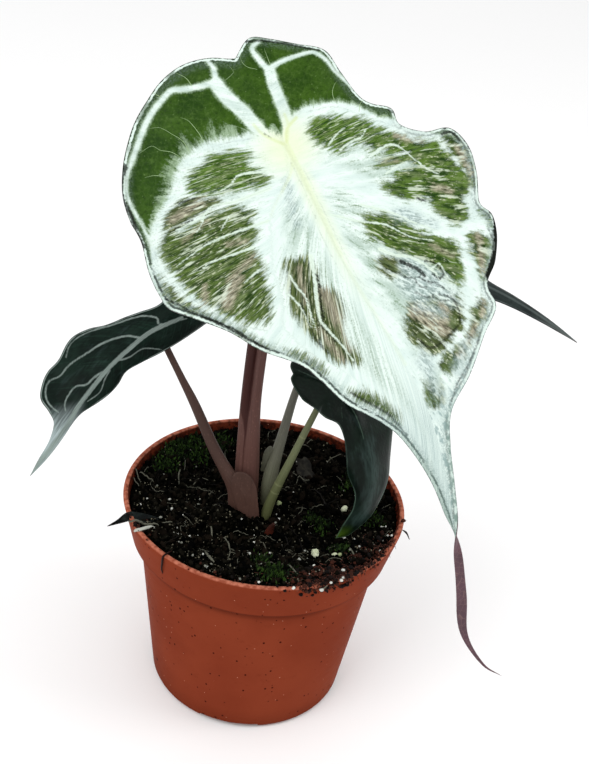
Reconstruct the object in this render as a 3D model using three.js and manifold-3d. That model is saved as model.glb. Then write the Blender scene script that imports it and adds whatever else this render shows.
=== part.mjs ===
// Potted venom alocasia: one large frosted leaf and three smaller ones rise from a corm
// in a filled nursery pot. Millimetres, +Z up. The origin is the centre of the pot's base.
import * as THREE from 'three';
import { mergeVertices } from 'three/addons/utils/BufferGeometryUtils.js';
import Module from 'manifold-3d';

const wasm = await Module();
wasm.setup();

// Clear space between pieces that touch on the real plant
const seatGap = 0.3;
const stalkTopGap = 0.8;

const pot = {
  height: 94.6,
  rimRadius: 60,
  rimWall: 2,
  lipRound: 0.7,
  shoulderHeight: 76.2,
  shoulderRadius: 55.9,
  shoulderRound: 0.8,
  bodyTopRadius: 52.1,
  baseRadius: 43.2,
  baseRound: 3.4,
  wall: 1.6,
  floor: 4,
  segments: 48,
  holeCount: 8,
  holeRadius: 3.5,
  holeCircle: 31,
  notchCount: 4,
  notchStart: -96,
  notchWidth: 26,
  notchDepth: 2.6,
};

// The potting mix is banked up at the wall, fullest in front, and spills at one place
const soil = {
  level: 88,
  rimClearance: 0.6,
  edgeBank: { rise: 3, from: 30, reach: 22 },
  frontBank: { rise: 2.4, from: 34, reach: 18, startsAt: 8, depth: 40 },
  spillBank: { rise: 2, from: 38, reach: 16, angle: -58, spread: 24 },
  lump: 0.7,
  rings: [0.26, 0.36, 0.5, 0.64, 0.77, 0.88, 0.96],
  segments: 48,
};

// The corm fills a plain hole in the soil and carries the stalks on its flat top
const corm = {
  centre: [-4.5, -2],
  radius: 11.2,
  top: 79.7,
  waist: 70,
  bottom: 61.5,
  segments: 32,
};

const bladeThickness = 0.7;

// The fold of a blade is rounded over this distance from its midrib
const midribRound = 2;

// The midrib's length is measured in this many steps
const lengthSteps = 600;
const stalkFoot = corm.top + seatGap;

// Each blade is drawn flattened: 'along' runs down the midrib from the stalk, 'across' to
// either side of it, negative on the left. A station pairs a place on the midrib with the
// left and the right edge there: [middle, leftAlong, leftAcross, rightAlong, rightAcross].
const mainBlade = {
  midrib: [
    [-33, 6, 291], [-22, -8, 274], [-7, -20, 257.5], [6, -31, 241], [20, -43, 223],
    [37, -55, 205], [50, -64, 189], [59, -70, 171], [68, -75, 144], [74, -79, 121],
    [78, -82, 104], [87, -84, 92], [95, -85, 88],
  ],
  hub: 2,
  facing: [0.05, -0.75, 0.66],
  tailFacing: [0.1, -0.9, 0.4],
  tailStart: 8,
  fold: 0,
  arch: 0.0022,
  twist: { from: 136, to: 164, turn: 180 },
  wave: { height: 1.5, perStation: 1.55, leftPhase: 0.4, rightPhase: 2.1, from: 2, to: 21 },
  rowsPerStation: 2,
  columns: [0, 0.22, 0.44, 0.64, 0.81, 0.92, 1],
  stations: [
    [-36, -35, -2, -35, -2], [-31, -38, -10, -41, 5], [-27, -38.5, -19, -39, 12],
    [-22, -36, -28, -34, 21], [-17, -31, -36, -27, 29], [-11, -26, -44, -14, 31],
    [-5, -20, -52, -3, 33], [2, -13, -57, 3, 40], [9, -3, -59, 9, 40],
    [17, 8, -59, 14, 48], [25, 19, -61, 16, 58], [32, 28, -61, 24, 61],
    [38, 34, -60, 34, 59], [45, 40, -54, 46, 55.5], [52, 48, -45, 55, 58],
    [59, 56, -39, 63, 55], [66, 66, -31, 71, 48], [74, 75, -28, 76, 41],
    [83, 86, -24.5, 84, 40], [92, 96, -18.5, 90, 30], [101, 105, -13.5, 98, 19],
    [110, 114, -10, 106, 8], [120, 124, -6.7, 117, 4], [132, 134, -4.2, 131, 2.6],
    [149, 149, -1.9, 149, 1.7], [166, 166, -1.9, 166, 1.5], [182, 182, -2, 182, 1.8],
    [197, 197, -0.9, 197, 0.9], [207, 207, -0.45, 207, 0.45], [215.5, 215.5, 0, 215.5, 0],
  ],
};

const leftBlade = {
  midrib: [
    [-36, 20, 175], [-42, 15, 171], [-49, 9, 166], [-57, 1, 161], [-66, -9, 154],
    [-73, -19, 146], [-79, -26, 138], [-85, -32, 128], [-92, -36, 117],
  ],
  hub: 2,
  facing: [0.34, -0.81, 0.48],
  fold: 35,
  arch: 0.004,
  wave: { height: 1.0, perStation: 1.3, leftPhase: 1.2, rightPhase: 0.2, from: 2, to: 14 },
  rowsPerStation: 2,
  columns: [0, 0.3, 0.58, 0.82, 1],
  stations: [
    [-12, -12, 0, -12, 0], [-6.5, -17.5, -5, -17.5, 5], [-4, -20, -9, -22, 10],
    [-1, -14, -10, -20, 14], [3, -5, -8.4, -9, 14], [8, 3, -11, 1, 12.3],
    [13, 9, -13.1, 9, 10.6], [18, 16, -15.6, 16, 8.6], [24, 21.5, -19.3, 23, 7], [29, 28, -21.7, 29, 8.6],
    [35, 36, -20, 35, 8], [41, 43, -20.3, 40.5, 6.2], [46, 49, -18.7, 45, 4.2],
    [50.5, 54, -15.5, 49, 2.5], [54, 56, -9.5, 53, 1.9], [59, 58.5, -5, 59, 2],
    [66, 65, -2.6, 65, 1.8], [74, 73.5, -1.6, 73.5, 1.2], [81.5, 81.5, 0, 81.5, 0],
  ],
};

const frontBlade = {
  midrib: [
    [2.5, 9, 151], [11.6, 6, 151.3], [22.9, 1, 150.6], [31.3, -7, 145.8], [37.2, -14, 135.4],
    [40.8, -18, 121.5], [39.9, -20, 107.7], [35.4, -20, 97], [31, -19, 91],
  ],
  hub: 2,
  facing: [0.25, -0.8, 0.55],
  fold: 30,
  arch: 0.004,
  wave: { height: 0.9, perStation: 1.5, leftPhase: 0.6, rightPhase: 1.9, from: 3, to: 13 },
  rowsPerStation: 2,
  columns: [0, 0.3, 0.58, 0.82, 1],
  stations: [
    [-19, -19, 0, -19, 0], [-13, -19.5, -2.5, -21.5, 4], [-10, -17.5, -6, -21, 9.5],
    [-7, -14, -9, -17, 14], [-3, -10, -11, -10, 16.7], [3, -3, -12.3, -1, 18.6],
    [9, 6, -11.4, 6, 19.6], [15, 14, -8, 13, 20], [21, 21, -7.8, 21, 19.3], [28, 28, -8.8, 29, 17],
    [35, 36, -9.2, 37, 14.3], [42, 42.5, -8, 43, 12.3], [49, 49, -5.3, 50, 9.4],
    [56, 56, -4.1, 57, 6.9], [63, 63, -3.6, 63, 4.4], [69, 69, -2.6, 69, 2.9],
    [74.8, 74.8, 0, 74.8, 0],
  ],
};

const rearBlade = {
  midrib: [
    [20, 33, 205], [31, 34.5, 203], [42, 36, 199], [54, 37, 195], [66, 37.5, 191],
    [78, 38, 187.5], [91, 38, 182.8], [107, 37, 175.5], [123.4, 35, 166.9],
  ],
  hub: 2,
  facing: [0.25, -0.35, 0.9],
  fold: 22,
  arch: 0.004,
  wave: { height: 1.0, perStation: 1.4, leftPhase: 0.9, rightPhase: 2.4, from: 3, to: 11 },
  rowsPerStation: 2,
  columns: [0, 0.3, 0.58, 0.82, 1],
  stations: [
    [-13, -13, 0, -13, 0], [-7, -21, -5, -21, 5], [-4, -22, -10.5, -22, 10.5],
    [0, -15, -15.5, -15, 15.5], [5, -6, -17.5, -6, 17.5], [10, 4, -18.5, 4, 18.5],
    [16, 13, -18, 13, 18], [23, 22, -15.5, 22, 15.5], [30, 30, -12, 30, 12],
    [38, 38, -8, 38, 8], [46, 46, -5, 46, 5], [55, 55, -3.8, 55, 3.8],
    [66, 66, -2.8, 66, 2.8], [77, 77, -1.6, 77, 1.6], [87.5, 87.5, 0, 87.5, 0],
  ],
};

// Where the open sheath's channel runs round a stalk, in degrees, and how far it spreads
const sheathChannel = { angle: -104, spread: 34 };

// Each stalk is a list of oval sections up its length: where the centre is, half the width
// seen from the front, half the depth, and how deep the sheath's channel is cut there.
const mainStalk = {
  sections: [
    { at: [-6.8, 1.5, stalkFoot], wide: 4.4, deep: 3.6 },
    { at: [-8, 1, 92], wide: 4.9, deep: 3.7, channel: 0.2 },
    { at: [-8.8, 0, 106], wide: 5.1, deep: 3.7, channel: 0.7 },
    { at: [-9.6, -1, 122.4], wide: 4.7, deep: 3.6, channel: 1.3 },
    { at: [-10.3, -2, 142.6], wide: 4.2, deep: 3.5, channel: 2.6 },
    { at: [-9.9, -6, 168.3], wide: 4.1, deep: 3.4, channel: 3 },
    { at: [-8.9, -10, 201], wide: 3.9, deep: 3.3, channel: 2.2 },
    { at: [-7.6, -15, 235], wide: 3.4, deep: 3.2, channel: 0.6 },
  ],
  topWide: 3.7,
  topDeep: 3.5,
  rings: 24,
  sides: 18,
};

const leftStalk = {
  sections: [
    { at: [-8.5, -6.2, stalkFoot], wide: 5, deep: 2.2 },
    { at: [-8.8, -6.4, 88], wide: 5.6, deep: 2.3 },
    { at: [-9.8, -6.6, 95], wide: 5.6, deep: 2.3 },
    { at: [-12.4, -6, 101.5], wide: 4.3, deep: 2.3 },
    { at: [-17.5, -4, 108], wide: 2.9, deep: 2.2 },
    { at: [-24.2, -0.5, 117.3], wide: 2.4, deep: 2.1 },
    { at: [-33.2, 4.5, 132.8], wide: 2, deep: 1.9 },
    { at: [-41, 10.5, 143], wide: 1.5, deep: 1.5 },
    { at: [-49.5, 16.5, 155], wide: 1.4, deep: 1.4 },
    { at: [-51, 14.5, 162.3], wide: 1.4, deep: 1.4 },
  ],
  topWide: 1.7,
  topDeep: 1.7,
  rings: 22,
  sides: 12,
};

const frontStalk = {
  sections: [
    { at: [1.6, -5.6, stalkFoot], wide: 2.1, deep: 2.1 },
    { at: [1.2, -5.8, 88], wide: 2.2, deep: 2.1 },
    { at: [3.4, -5, 99], wide: 2, deep: 2 },
    { at: [9.5, -2.5, 118.2], wide: 1.6, deep: 1.6 },
    { at: [14.2, 1.5, 131], wide: 1.4, deep: 1.4 },
    { at: [18.5, 6.5, 141], wide: 1.3, deep: 1.3 },
    { at: [21.2, 6, 147.2], wide: 1.3, deep: 1.3 },
  ],
  topWide: 1.5,
  topDeep: 1.5,
  rings: 16,
  sides: 12,
};

const rearStalk = {
  sections: [
    { at: [1.4, 0.6, stalkFoot], wide: 2.9, deep: 2.6 },
    { at: [1.2, 1, 90], wide: 3.2, deep: 2.7 },
    { at: [1.2, 2, 103], wide: 3.1, deep: 2.6 },
    { at: [3.8, 7, 118.9], wide: 2.2, deep: 2.1 },
    { at: [7.9, 16, 139.9], wide: 1.6, deep: 1.6 },
    { at: [13.5, 22.5, 158], wide: 1.4, deep: 1.4 },
    { at: [22, 29, 178], wide: 1.3, deep: 1.3 },
    { at: [33, 34, 192], wide: 1.3, deep: 1.3 },
  ],
  topWide: 1.6,
  topDeep: 1.6,
  rings: 24,
  sides: 12,
};

// The withered foot of an older leaf, standing in a hole of its own before the stalks
const oldLeafFoot = {
  hole: { centre: [2.7, -17.6], radius: 2.7, bottom: 81 },
  sections: [
    { at: [2.6, -17.6, 81.3], wide: 1.9, deep: 1.6 },
    { at: [3, -17.6, 86], wide: 1.9, deep: 1.6 },
    { at: [3.8, -17.7, 90.5], wide: 1.5, deep: 1.2 },
    { at: [5, -18.1, 94], wide: 0.7, deep: 0.6 },
  ],
  rings: 8,
  sides: 10,
};

const finishes = {
  terracottaPlastic: { color: 0x9c4a33, roughness: 0.45 },
  pottingMix: { color: 0x1c1713, roughness: 0.95 },
  cormSkin: { color: 0x5a4030, roughness: 0.8 },
  frostedBlade: { color: 0xb7d3a6, roughness: 0.45 },
  darkBlade: { color: 0x24382f, roughness: 0.35 },
  maroonStalk: { color: 0x7a4f46, roughness: 0.5 },
  brownStalk: { color: 0x7c5648, roughness: 0.5 },
  greyStalk: { color: 0x6f6a5a, roughness: 0.5 },
  greenStalk: { color: 0x7c8455, roughness: 0.5 },
  witheredSheath: { color: 0x5c3023, roughness: 0.8 },
};

const vector = (point) => new THREE.Vector3(...point);
const smooth = (x) => THREE.MathUtils.smoothstep(x, 0, 1);

// A smooth curve through points
function curveThrough(points) {
  return new THREE.CatmullRomCurve3(points.map(vector), false, 'catmullrom', 0.5);
}

function geometryFrom(points, triangles) {
  const geometry = new THREE.BufferGeometry();
  const numbers = points.flatMap((point) => point.toArray());
  geometry.setAttribute('position', new THREE.Float32BufferAttribute(numbers, 3));
  geometry.setIndex(triangles.flat());
  return geometry;
}

function toSolid(geometry) {
  const bare = geometry.clone();
  bare.deleteAttribute('normal');
  bare.deleteAttribute('uv');
  const merged = mergeVertices(bare, 1e-4);
  return new wasm.Manifold(new wasm.Mesh({
    numProp: 3,
    vertProperties: new Float32Array(merged.attributes.position.array),
    triVerts: new Uint32Array(merged.index.array),
  }));
}

function fromSolid(solid) {
  const mesh = solid.getMesh();
  const geometry = new THREE.BufferGeometry();
  geometry.setAttribute('position', new THREE.BufferAttribute(mesh.vertProperties, 3));
  geometry.setIndex(new THREE.BufferAttribute(mesh.triVerts, 1));
  return geometry;
}

// A profile of [radius, height] pairs turned about the +Z axis
function turned(profile, segments) {
  const points = profile.map(([radius, height]) => new THREE.Vector2(radius, height));
  return new THREE.LatheGeometry(points, segments).rotateX(Math.PI / 2);
}

// Closes rings of equal length into a solid, with a flat fan over each end
function loft(rings) {
  const sides = rings[0].length;
  const points = rings.flat();
  const triangles = [];
  for (let i = 0; i + 1 < rings.length; i++) {
    for (let j = 0; j < sides; j++) {
      const a = i * sides + j;
      const b = i * sides + (j + 1) % sides;
      triangles.push([a, b, b + sides], [a, b + sides, a + sides]);
    }
  }
  const first = points.length;
  points.push(centreOf(rings[0]), centreOf(rings.at(-1)));
  const lastRing = (rings.length - 1) * sides;
  for (let j = 0; j < sides; j++) {
    const next = (j + 1) % sides;
    triangles.push([first, next, j], [first + 1, lastRing + j, lastRing + next]);
  }
  return geometryFrom(points, triangles);
}

function centreOf(ring) {
  const sum = new THREE.Vector3();
  ring.forEach((point) => sum.add(point));
  return sum.divideScalar(ring.length);
}

// The pot's inner wall from its floor to its lip, as [radius, height] pairs
function insideOfPot() {
  const { wall, rimWall, shoulderRound } = pot;
  const floorEdge = pot.baseRadius - wall;
  const ledge = pot.shoulderHeight - wall;
  return [
    [floorEdge - 1, pot.floor],
    [floorEdge, pot.floor + 1],
    [pot.bodyTopRadius - wall, ledge],
    [pot.bodyTopRadius - wall + shoulderRound, ledge + shoulderRound],
    [pot.shoulderRadius - rimWall, pot.shoulderHeight + shoulderRound],
    [pot.rimRadius - rimWall, pot.height - pot.lipRound / 2],
  ];
}

// The radius inside the band under the rim
function bandInside(height) {
  const [[lowRadius, low], [highRadius, high]] = insideOfPot().slice(-2);
  return THREE.MathUtils.mapLinear(height, low, high, lowRadius, highRadius);
}

function makePot() {
  const { lipRound, shoulderRound } = pot;
  const shoulder = pot.shoulderHeight;
  const corner = [0, 30, 60, 90].map((degrees) => {
    const angle = THREE.MathUtils.degToRad(degrees);
    const radius = pot.baseRadius - pot.baseRound * (1 - Math.sin(angle));
    return [radius, pot.baseRound * (1 - Math.cos(angle))];
  });
  let body = toSolid(turned([
    [0, 0],
    ...corner,
    [pot.bodyTopRadius, shoulder - shoulderRound],
    [pot.bodyTopRadius + shoulderRound, shoulder],
    [pot.shoulderRadius - shoulderRound, shoulder],
    [pot.shoulderRadius, shoulder + shoulderRound],
    [pot.rimRadius, pot.height - lipRound],
    [pot.rimRadius - lipRound, pot.height],
    [pot.rimRadius - pot.rimWall + lipRound / 2, pot.height],
    ...insideOfPot().toReversed(),
    [0, pot.floor],
  ], pot.segments));
  for (let i = 0; i < pot.holeCount; i++) {
    const hole = new THREE.CylinderGeometry(pot.holeRadius, pot.holeRadius, pot.floor * 3, 12);
    hole.rotateX(Math.PI / 2);
    hole.translate(pot.holeCircle, 0, 0);
    hole.rotateZ(THREE.MathUtils.degToRad(pot.notchStart + i * 360 / pot.holeCount));
    body = body.subtract(toSolid(hole));
  }
  for (let i = 0; i < pot.notchCount; i++) {
    const notch = new THREE.BoxGeometry(pot.baseRadius, pot.notchWidth, pot.notchDepth * 2);
    notch.translate(pot.holeCircle - pot.holeRadius * 2 + pot.baseRadius / 2, 0, 0);
    notch.rotateZ(THREE.MathUtils.degToRad(pot.notchStart + i * 360 / pot.notchCount));
    body = body.subtract(toSolid(notch));
  }
  return fromSolid(body);
}

// How high the potting mix stands at a place
function soilHeight(x, y) {
  const { edgeBank, frontBank, spillBank } = soil;
  const radius = Math.hypot(x, y);
  const angle = THREE.MathUtils.radToDeg(Math.atan2(y, x));
  const outward = (bank) => bank.rise * smooth((radius - bank.from) / bank.reach);
  const forward = smooth((-y - frontBank.startsAt) / frontBank.depth);
  const spill = Math.exp(-(((angle - spillBank.angle) / spillBank.spread) ** 2));
  const coarse = Math.sin(x * 0.31 + 1.3) * Math.cos(y * 0.27 + 0.4);
  const fine = Math.sin(x * 0.13 - y * 0.55) / 2;
  return soil.level
    + outward(edgeBank)
    + outward(frontBank) * forward
    + outward(spillBank) * spill
    + soil.lump * (coarse + fine);
}

function makeSoil() {
  const ringAt = (radiusAt, heightAt) => Array.from({ length: soil.segments }, (_, j) => {
    const angle = j * 2 * Math.PI / soil.segments;
    const height = heightAt(angle);
    const radius = radiusAt(height);
    return new THREE.Vector3(radius * Math.cos(angle), radius * Math.sin(angle), height);
  });
  const heightRound = (radius) => (angle) => (
    soilHeight(radius * Math.cos(angle), radius * Math.sin(angle))
  );
  const edge = bandInside(soil.level) - seatGap;
  const edgeHeight = (angle) => Math.min(heightRound(edge)(angle), pot.height - soil.rimClearance);
  const rings = insideOfPot().slice(0, -1).map(([radius, height]) => (
    ringAt(() => radius - seatGap, () => height + seatGap)
  ));
  rings.push(ringAt((height) => bandInside(height) - seatGap, edgeHeight));
  for (const share of soil.rings.toReversed()) {
    rings.push(ringAt(() => edge * share, heightRound(edge * share)));
  }
  let mass = toSolid(loft(rings));
  const cormHole = turned(cormProfile(seatGap, pot.height), corm.segments);
  cormHole.translate(...corm.centre, 0);
  mass = mass.subtract(toSolid(cormHole));
  const { hole } = oldLeafFoot;
  const depth = pot.height - hole.bottom;
  const footHole = new THREE.CylinderGeometry(hole.radius, hole.radius, depth, 12);
  footHole.rotateX(Math.PI / 2);
  footHole.translate(...hole.centre, hole.bottom + depth / 2);
  return fromSolid(mass.subtract(toSolid(footHole)));
}

// Half outline of the corm, larger by a margin, up to a flat top
function cormProfile(margin, top) {
  const steps = [0, 22.5, 45, 67.5, 90].map((degrees) => {
    const angle = THREE.MathUtils.degToRad(degrees);
    const radius = (corm.radius + margin) * Math.sin(angle);
    return [radius, corm.waist - (corm.waist - corm.bottom + margin) * Math.cos(angle)];
  });
  return [...steps, [corm.radius + margin, top], [0, top]];
}

function makeCorm() {
  return turned(cormProfile(0, corm.top), corm.segments).translate(...corm.centre, 0);
}

// A blade's surface: a frame carried down the midrib, bent by fold, arch, twist and waves
class BladeSurface {
  constructor(shape) {
    this.shape = shape;
    this.midrib = curveThrough(shape.midrib);
    const last = shape.midrib.length - 1;
    this.facing = curveThrough(shape.midrib.map((_, i) => (
      i >= (shape.tailStart ?? last + 1) ? shape.tailFacing : shape.facing
    )));
    this.lengths = [0];
    for (let i = 1; i <= lengthSteps; i++) {
      const here = this.midrib.getPoint(i / lengthSteps);
      const before = this.midrib.getPoint((i - 1) / lengthSteps);
      this.lengths.push(this.lengths[i - 1] + here.distanceTo(before));
    }
    this.hubLength = this.lengths[Math.round(lengthSteps * shape.hub / last)];
  }

  // Beyond either end of the midrib the frame goes straight on
  frameAt(along) {
    const length = along + this.hubLength;
    const held = THREE.MathUtils.clamp(length, 0, this.lengths[lengthSteps]);
    const i = Math.max(this.lengths.findIndex((reached) => reached >= held), 1);
    const share = (held - this.lengths[i - 1]) / (this.lengths[i] - this.lengths[i - 1]);
    const u = (i - 1 + share) / lengthSteps;
    const direction = this.midrib.getTangent(u);
    const centre = this.midrib.getPoint(u).addScaledVector(direction, length - held);
    const side = this.facing.getPoint(u).cross(direction).normalize();
    const face = direction.clone().cross(side);
    const { twist } = this.shape;
    if (twist) {
      const turned = smooth((along - twist.from) / (twist.to - twist.from));
      const roll = THREE.MathUtils.degToRad(twist.turn) * turned;
      side.applyAxisAngle(direction, roll);
      face.applyAxisAngle(direction, roll);
    }
    return { centre, side, face };
  }

  // How far the folded halves have dropped at a distance from the rounded midrib
  foldDrop(across) {
    const reach = Math.hypot(across, midribRound) - midribRound;
    return Math.sin(THREE.MathUtils.degToRad(this.shape.fold)) * reach;
  }

  // edge runs from 0 on the midrib to 1 at the margin, station counts down the list
  pointAt(along, across, edge, station) {
    const { fold, arch, wave } = this.shape;
    const { centre, side, face } = this.frameAt(along);
    const angle = THREE.MathUtils.degToRad(fold);
    const phase = across < 0 ? wave.leftPhase : wave.rightPhase;
    const fade = smooth((station - wave.from) / 2) * smooth((wave.to - station) / 3);
    const ripple = wave.height * fade * edge ** 3 * Math.sin(station * wave.perStation + phase);
    const lift = ripple - this.foldDrop(across) - arch * across * across;
    return centre.addScaledVector(side, across * Math.cos(angle)).addScaledVector(face, lift);
  }
}

// The blade's middle sheet: rows between the pointed ends, triangles split one way each side
function bladeSheet(shape) {
  const surface = new BladeSurface(shape);
  const { stations, columns, rowsPerStation } = shape;
  const left = curveThrough(stations.map(([middle, along, across]) => [along, across, middle]));
  const right = curveThrough(stations.map(([middle, , , along, across]) => [along, across, middle]));
  const rowCount = (stations.length - 1) * rowsPerStation;
  const spots = [...columns.slice(1).toReversed().map((c) => -c), ...columns];
  const points = [];
  const rows = [];
  for (let i = 0; i <= rowCount; i++) {
    const leftEdge = left.getPoint(i / rowCount);
    const rightEdge = right.getPoint(i / rowCount);
    const station = i / rowsPerStation;
    const place = (spot) => {
      const margin = spot < 0 ? leftEdge : rightEdge;
      const edge = Math.abs(spot);
      const along = THREE.MathUtils.lerp(leftEdge.z, margin.x, edge);
      return surface.pointAt(along, margin.y * edge, edge, station);
    };
    if (i === 0 || i === rowCount) {
      rows.push(spots.map(() => points.length));
      points.push(place(-1));
    } else {
      rows.push(spots.map((_, j) => points.length + j));
      points.push(...spots.map(place));
    }
  }
  const triangles = [];
  const half = columns.length - 1;
  for (let i = 0; i < rowCount; i++) {
    for (let j = 0; j + 1 < spots.length; j++) {
      const [a, b, c, d] = [rows[i][j], rows[i][j + 1], rows[i + 1][j + 1], rows[i + 1][j]];
      const pair = j < half ? [[a, d, b], [b, d, c]] : [[a, c, b], [a, d, c]];
      triangles.push(...pair.filter((t) => new Set(t).size === 3));
    }
  }
  return { surface, points, triangles };
}

// Gives a sheet its thickness, half on each face, and closes the rim
function thicken({ points, triangles }, thickness) {
  const normals = points.map(() => new THREE.Vector3());
  const edges = new Map();
  for (const [a, b, c] of triangles) {
    const first = points[b].clone().sub(points[a]);
    const normal = first.cross(points[c].clone().sub(points[a]));
    [a, b, c].forEach((i) => normals[i].add(normal));
    [[a, b], [b, c], [c, a]].forEach(([i, j]) => edges.set(`${i},${j}`, [i, j]));
  }
  const offset = (side) => points.map((p, i) => (
    p.clone().addScaledVector(normals[i].clone().normalize(), side * thickness / 2)
  ));
  const count = points.length;
  const under = triangles.map(([a, b, c]) => [a + count, c + count, b + count]);
  const rim = [];
  for (const [i, j] of edges.values()) {
    if (!edges.has(`${j},${i}`)) {
      rim.push([j, i, i + count], [j, i + count, j + count]);
    }
  }
  return geometryFrom([...offset(1), ...offset(-1)], [...triangles, ...under, ...rim]);
}

function makeBlade(shape) {
  return thicken(bladeSheet(shape), bladeThickness);
}

// A stalk: oval sections up a smooth path, its foot level and its top cut to the blade above
function makeStalk(stalk, blade) {
  const level = new THREE.Vector3(0, 0, 1);
  const sections = [...stalk.sections];
  let topFace = level;
  if (blade) {
    const surface = new BladeSurface(blade);
    const { centre, face } = surface.frameAt(0);
    const drop = bladeThickness / 2 + stalkTopGap + surface.foldDrop(stalk.topWide);
    topFace = face;
    const top = centre.addScaledVector(face, -drop);
    sections.push({ at: top.toArray(), wide: stalk.topWide, deep: stalk.topDeep });
  }
  const path = curveThrough(sections.map((section) => section.at));
  const sizes = curveThrough(sections.map(({ wide, deep, channel = 0 }) => [wide, deep, channel]));
  const rings = [];
  for (let i = 0; i <= stalk.rings; i++) {
    const u = i / stalk.rings;
    const centre = path.getPoint(u);
    const direction = path.getTangent(u);
    const [wide, deep, channel] = sizes.getPoint(u).toArray();
    const side = new THREE.Vector3(0, 1, 0).cross(direction).normalize();
    const back = direction.clone().cross(side);
    const ring = Array.from({ length: stalk.sides }, (_, j) => {
      const degrees = j * 360 / stalk.sides;
      const away = (degrees - sheathChannel.angle + 180) % 360 - 180;
      const bite = channel * Math.exp(-((away / sheathChannel.spread) ** 2));
      const angle = THREE.MathUtils.degToRad(degrees);
      return centre.clone()
        .addScaledVector(side, (wide - bite) * Math.cos(angle))
        .addScaledVector(back, (deep - bite) * Math.sin(angle));
    });
    if (i === 0) ring.forEach((point) => slideToPlane(point, direction, centre, level));
    if (i === stalk.rings) ring.forEach((point) => slideToPlane(point, direction, centre, topFace));
    rings.push(ring);
  }
  return loft(rings);
}

// Moves a point along a direction until it lies in a plane
function slideToPlane(point, direction, origin, normal) {
  const distance = origin.clone().sub(point).dot(normal) / direction.dot(normal);
  point.addScaledVector(direction, distance);
}

function piece(name, geometry, finish) {
  const material = new THREE.MeshStandardMaterial({ ...finishes[finish], metalness: 0 });
  const mesh = new THREE.Mesh(geometry, material);
  mesh.name = name;
  return mesh;
}

const plant = new THREE.Group();
plant.add(
  piece('pot', makePot(), 'terracottaPlastic'),
  piece('soil', makeSoil(), 'pottingMix'),
  piece('corm', makeCorm(), 'cormSkin'),
  piece('main_stalk', makeStalk(mainStalk, mainBlade), 'maroonStalk'),
  piece('main_blade', makeBlade(mainBlade), 'frostedBlade'),
  piece('left_stalk', makeStalk(leftStalk, leftBlade), 'brownStalk'),
  piece('left_blade', makeBlade(leftBlade), 'darkBlade'),
  piece('front_stalk', makeStalk(frontStalk, frontBlade), 'greenStalk'),
  piece('front_blade', makeBlade(frontBlade), 'darkBlade'),
  piece('rear_stalk', makeStalk(rearStalk, rearBlade), 'greyStalk'),
  piece('rear_blade', makeBlade(rearBlade), 'darkBlade'),
  piece('old_leaf_foot', makeStalk(oldLeafFoot, null), 'witheredSheath'),
);

export default plant;
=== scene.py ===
import math
import random

import bmesh
import bpy
import numpy as np
from mathutils import Matrix, Vector, noise
from mathutils.bvhtree import BVHTree
from mathutils.geometry import barycentric_transform


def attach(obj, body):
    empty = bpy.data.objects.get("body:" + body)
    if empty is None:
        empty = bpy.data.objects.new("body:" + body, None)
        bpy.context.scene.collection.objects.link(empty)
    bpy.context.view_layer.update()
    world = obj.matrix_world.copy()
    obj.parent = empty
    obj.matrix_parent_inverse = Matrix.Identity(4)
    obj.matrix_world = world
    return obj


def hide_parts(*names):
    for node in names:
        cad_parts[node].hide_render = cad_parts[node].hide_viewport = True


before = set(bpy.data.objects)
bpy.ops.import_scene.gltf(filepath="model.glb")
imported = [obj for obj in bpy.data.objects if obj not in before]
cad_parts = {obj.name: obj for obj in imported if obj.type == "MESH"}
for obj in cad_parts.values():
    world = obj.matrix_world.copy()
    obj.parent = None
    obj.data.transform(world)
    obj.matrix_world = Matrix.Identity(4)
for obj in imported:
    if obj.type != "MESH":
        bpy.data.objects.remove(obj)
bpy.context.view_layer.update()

scene = bpy.context.scene
mm = 0.001


# Small helpers

def paint(red, green, blue):
    # a colour as seen on a screen, 0 to 255, in the linear values that a shader takes
    linear = [(c / 255 / 12.92) if c < 10 else ((c / 255 + 0.055) / 1.055) ** 2.4
              for c in (red, green, blue)]
    return (*linear, 1.0)


def smooth(x):
    x = np.clip(x, 0, 1)
    return x * x * (3 - 2 * x)


def curveAt(points, u):
    # a smooth curve through points, at shares u of the way
    p = np.asarray(points, float)
    last = len(p) - 1
    held = np.vstack([2 * p[0] - p[1], p, 2 * p[-1] - p[-2]])
    t = np.clip(np.asarray(u, float), 0, 1) * last
    i = np.minimum(t.astype(int), last - 1)
    w = (t - i)[..., None]
    a, b, c, d = held[i], held[i + 1], held[i + 2], held[i + 3]
    return 0.5 * (2 * b + (c - a) * w + (2 * a - 5 * b + 4 * c - d) * w ** 2
                  + (3 * b - a - 3 * c + d) * w ** 3)


def tangentAt(points, u):
    step = 0.0001
    way = curveAt(points, np.clip(u + step, 0, 1)) - curveAt(points, np.clip(u - step, 0, 1))
    return unit(way)


def unit(v):
    return v / np.maximum(np.linalg.norm(v, axis=-1, keepdims=True), 1e-12)


def finePath(points, steps=6):
    count = (len(points) - 1) * steps
    return curveAt(points, np.linspace(0, 1, count + 1))


def nearPath(spots, path):
    # how far each spot is from a path in the plane, where along it, and on which side
    best = np.full(len(spots), 1e9)
    run = np.zeros(len(spots))
    hand = np.ones(len(spots))
    start = 0.0
    for a, b in zip(path[:-1], path[1:]):
        way = b - a
        length = max(np.hypot(*way), 1e-9)
        off = spots - a
        share = np.clip((off @ way) / length ** 2, 0, 1)
        gap = off - share[:, None] * way
        distance = np.hypot(gap[:, 0], gap[:, 1])
        closer = distance < best
        best[closer] = distance[closer]
        run[closer] = (start + share * length)[closer]
        hand[closer] = np.sign(way[0] * off[:, 1] - way[1] * off[:, 0])[closer]
        start += length
    return best, run, hand


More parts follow.
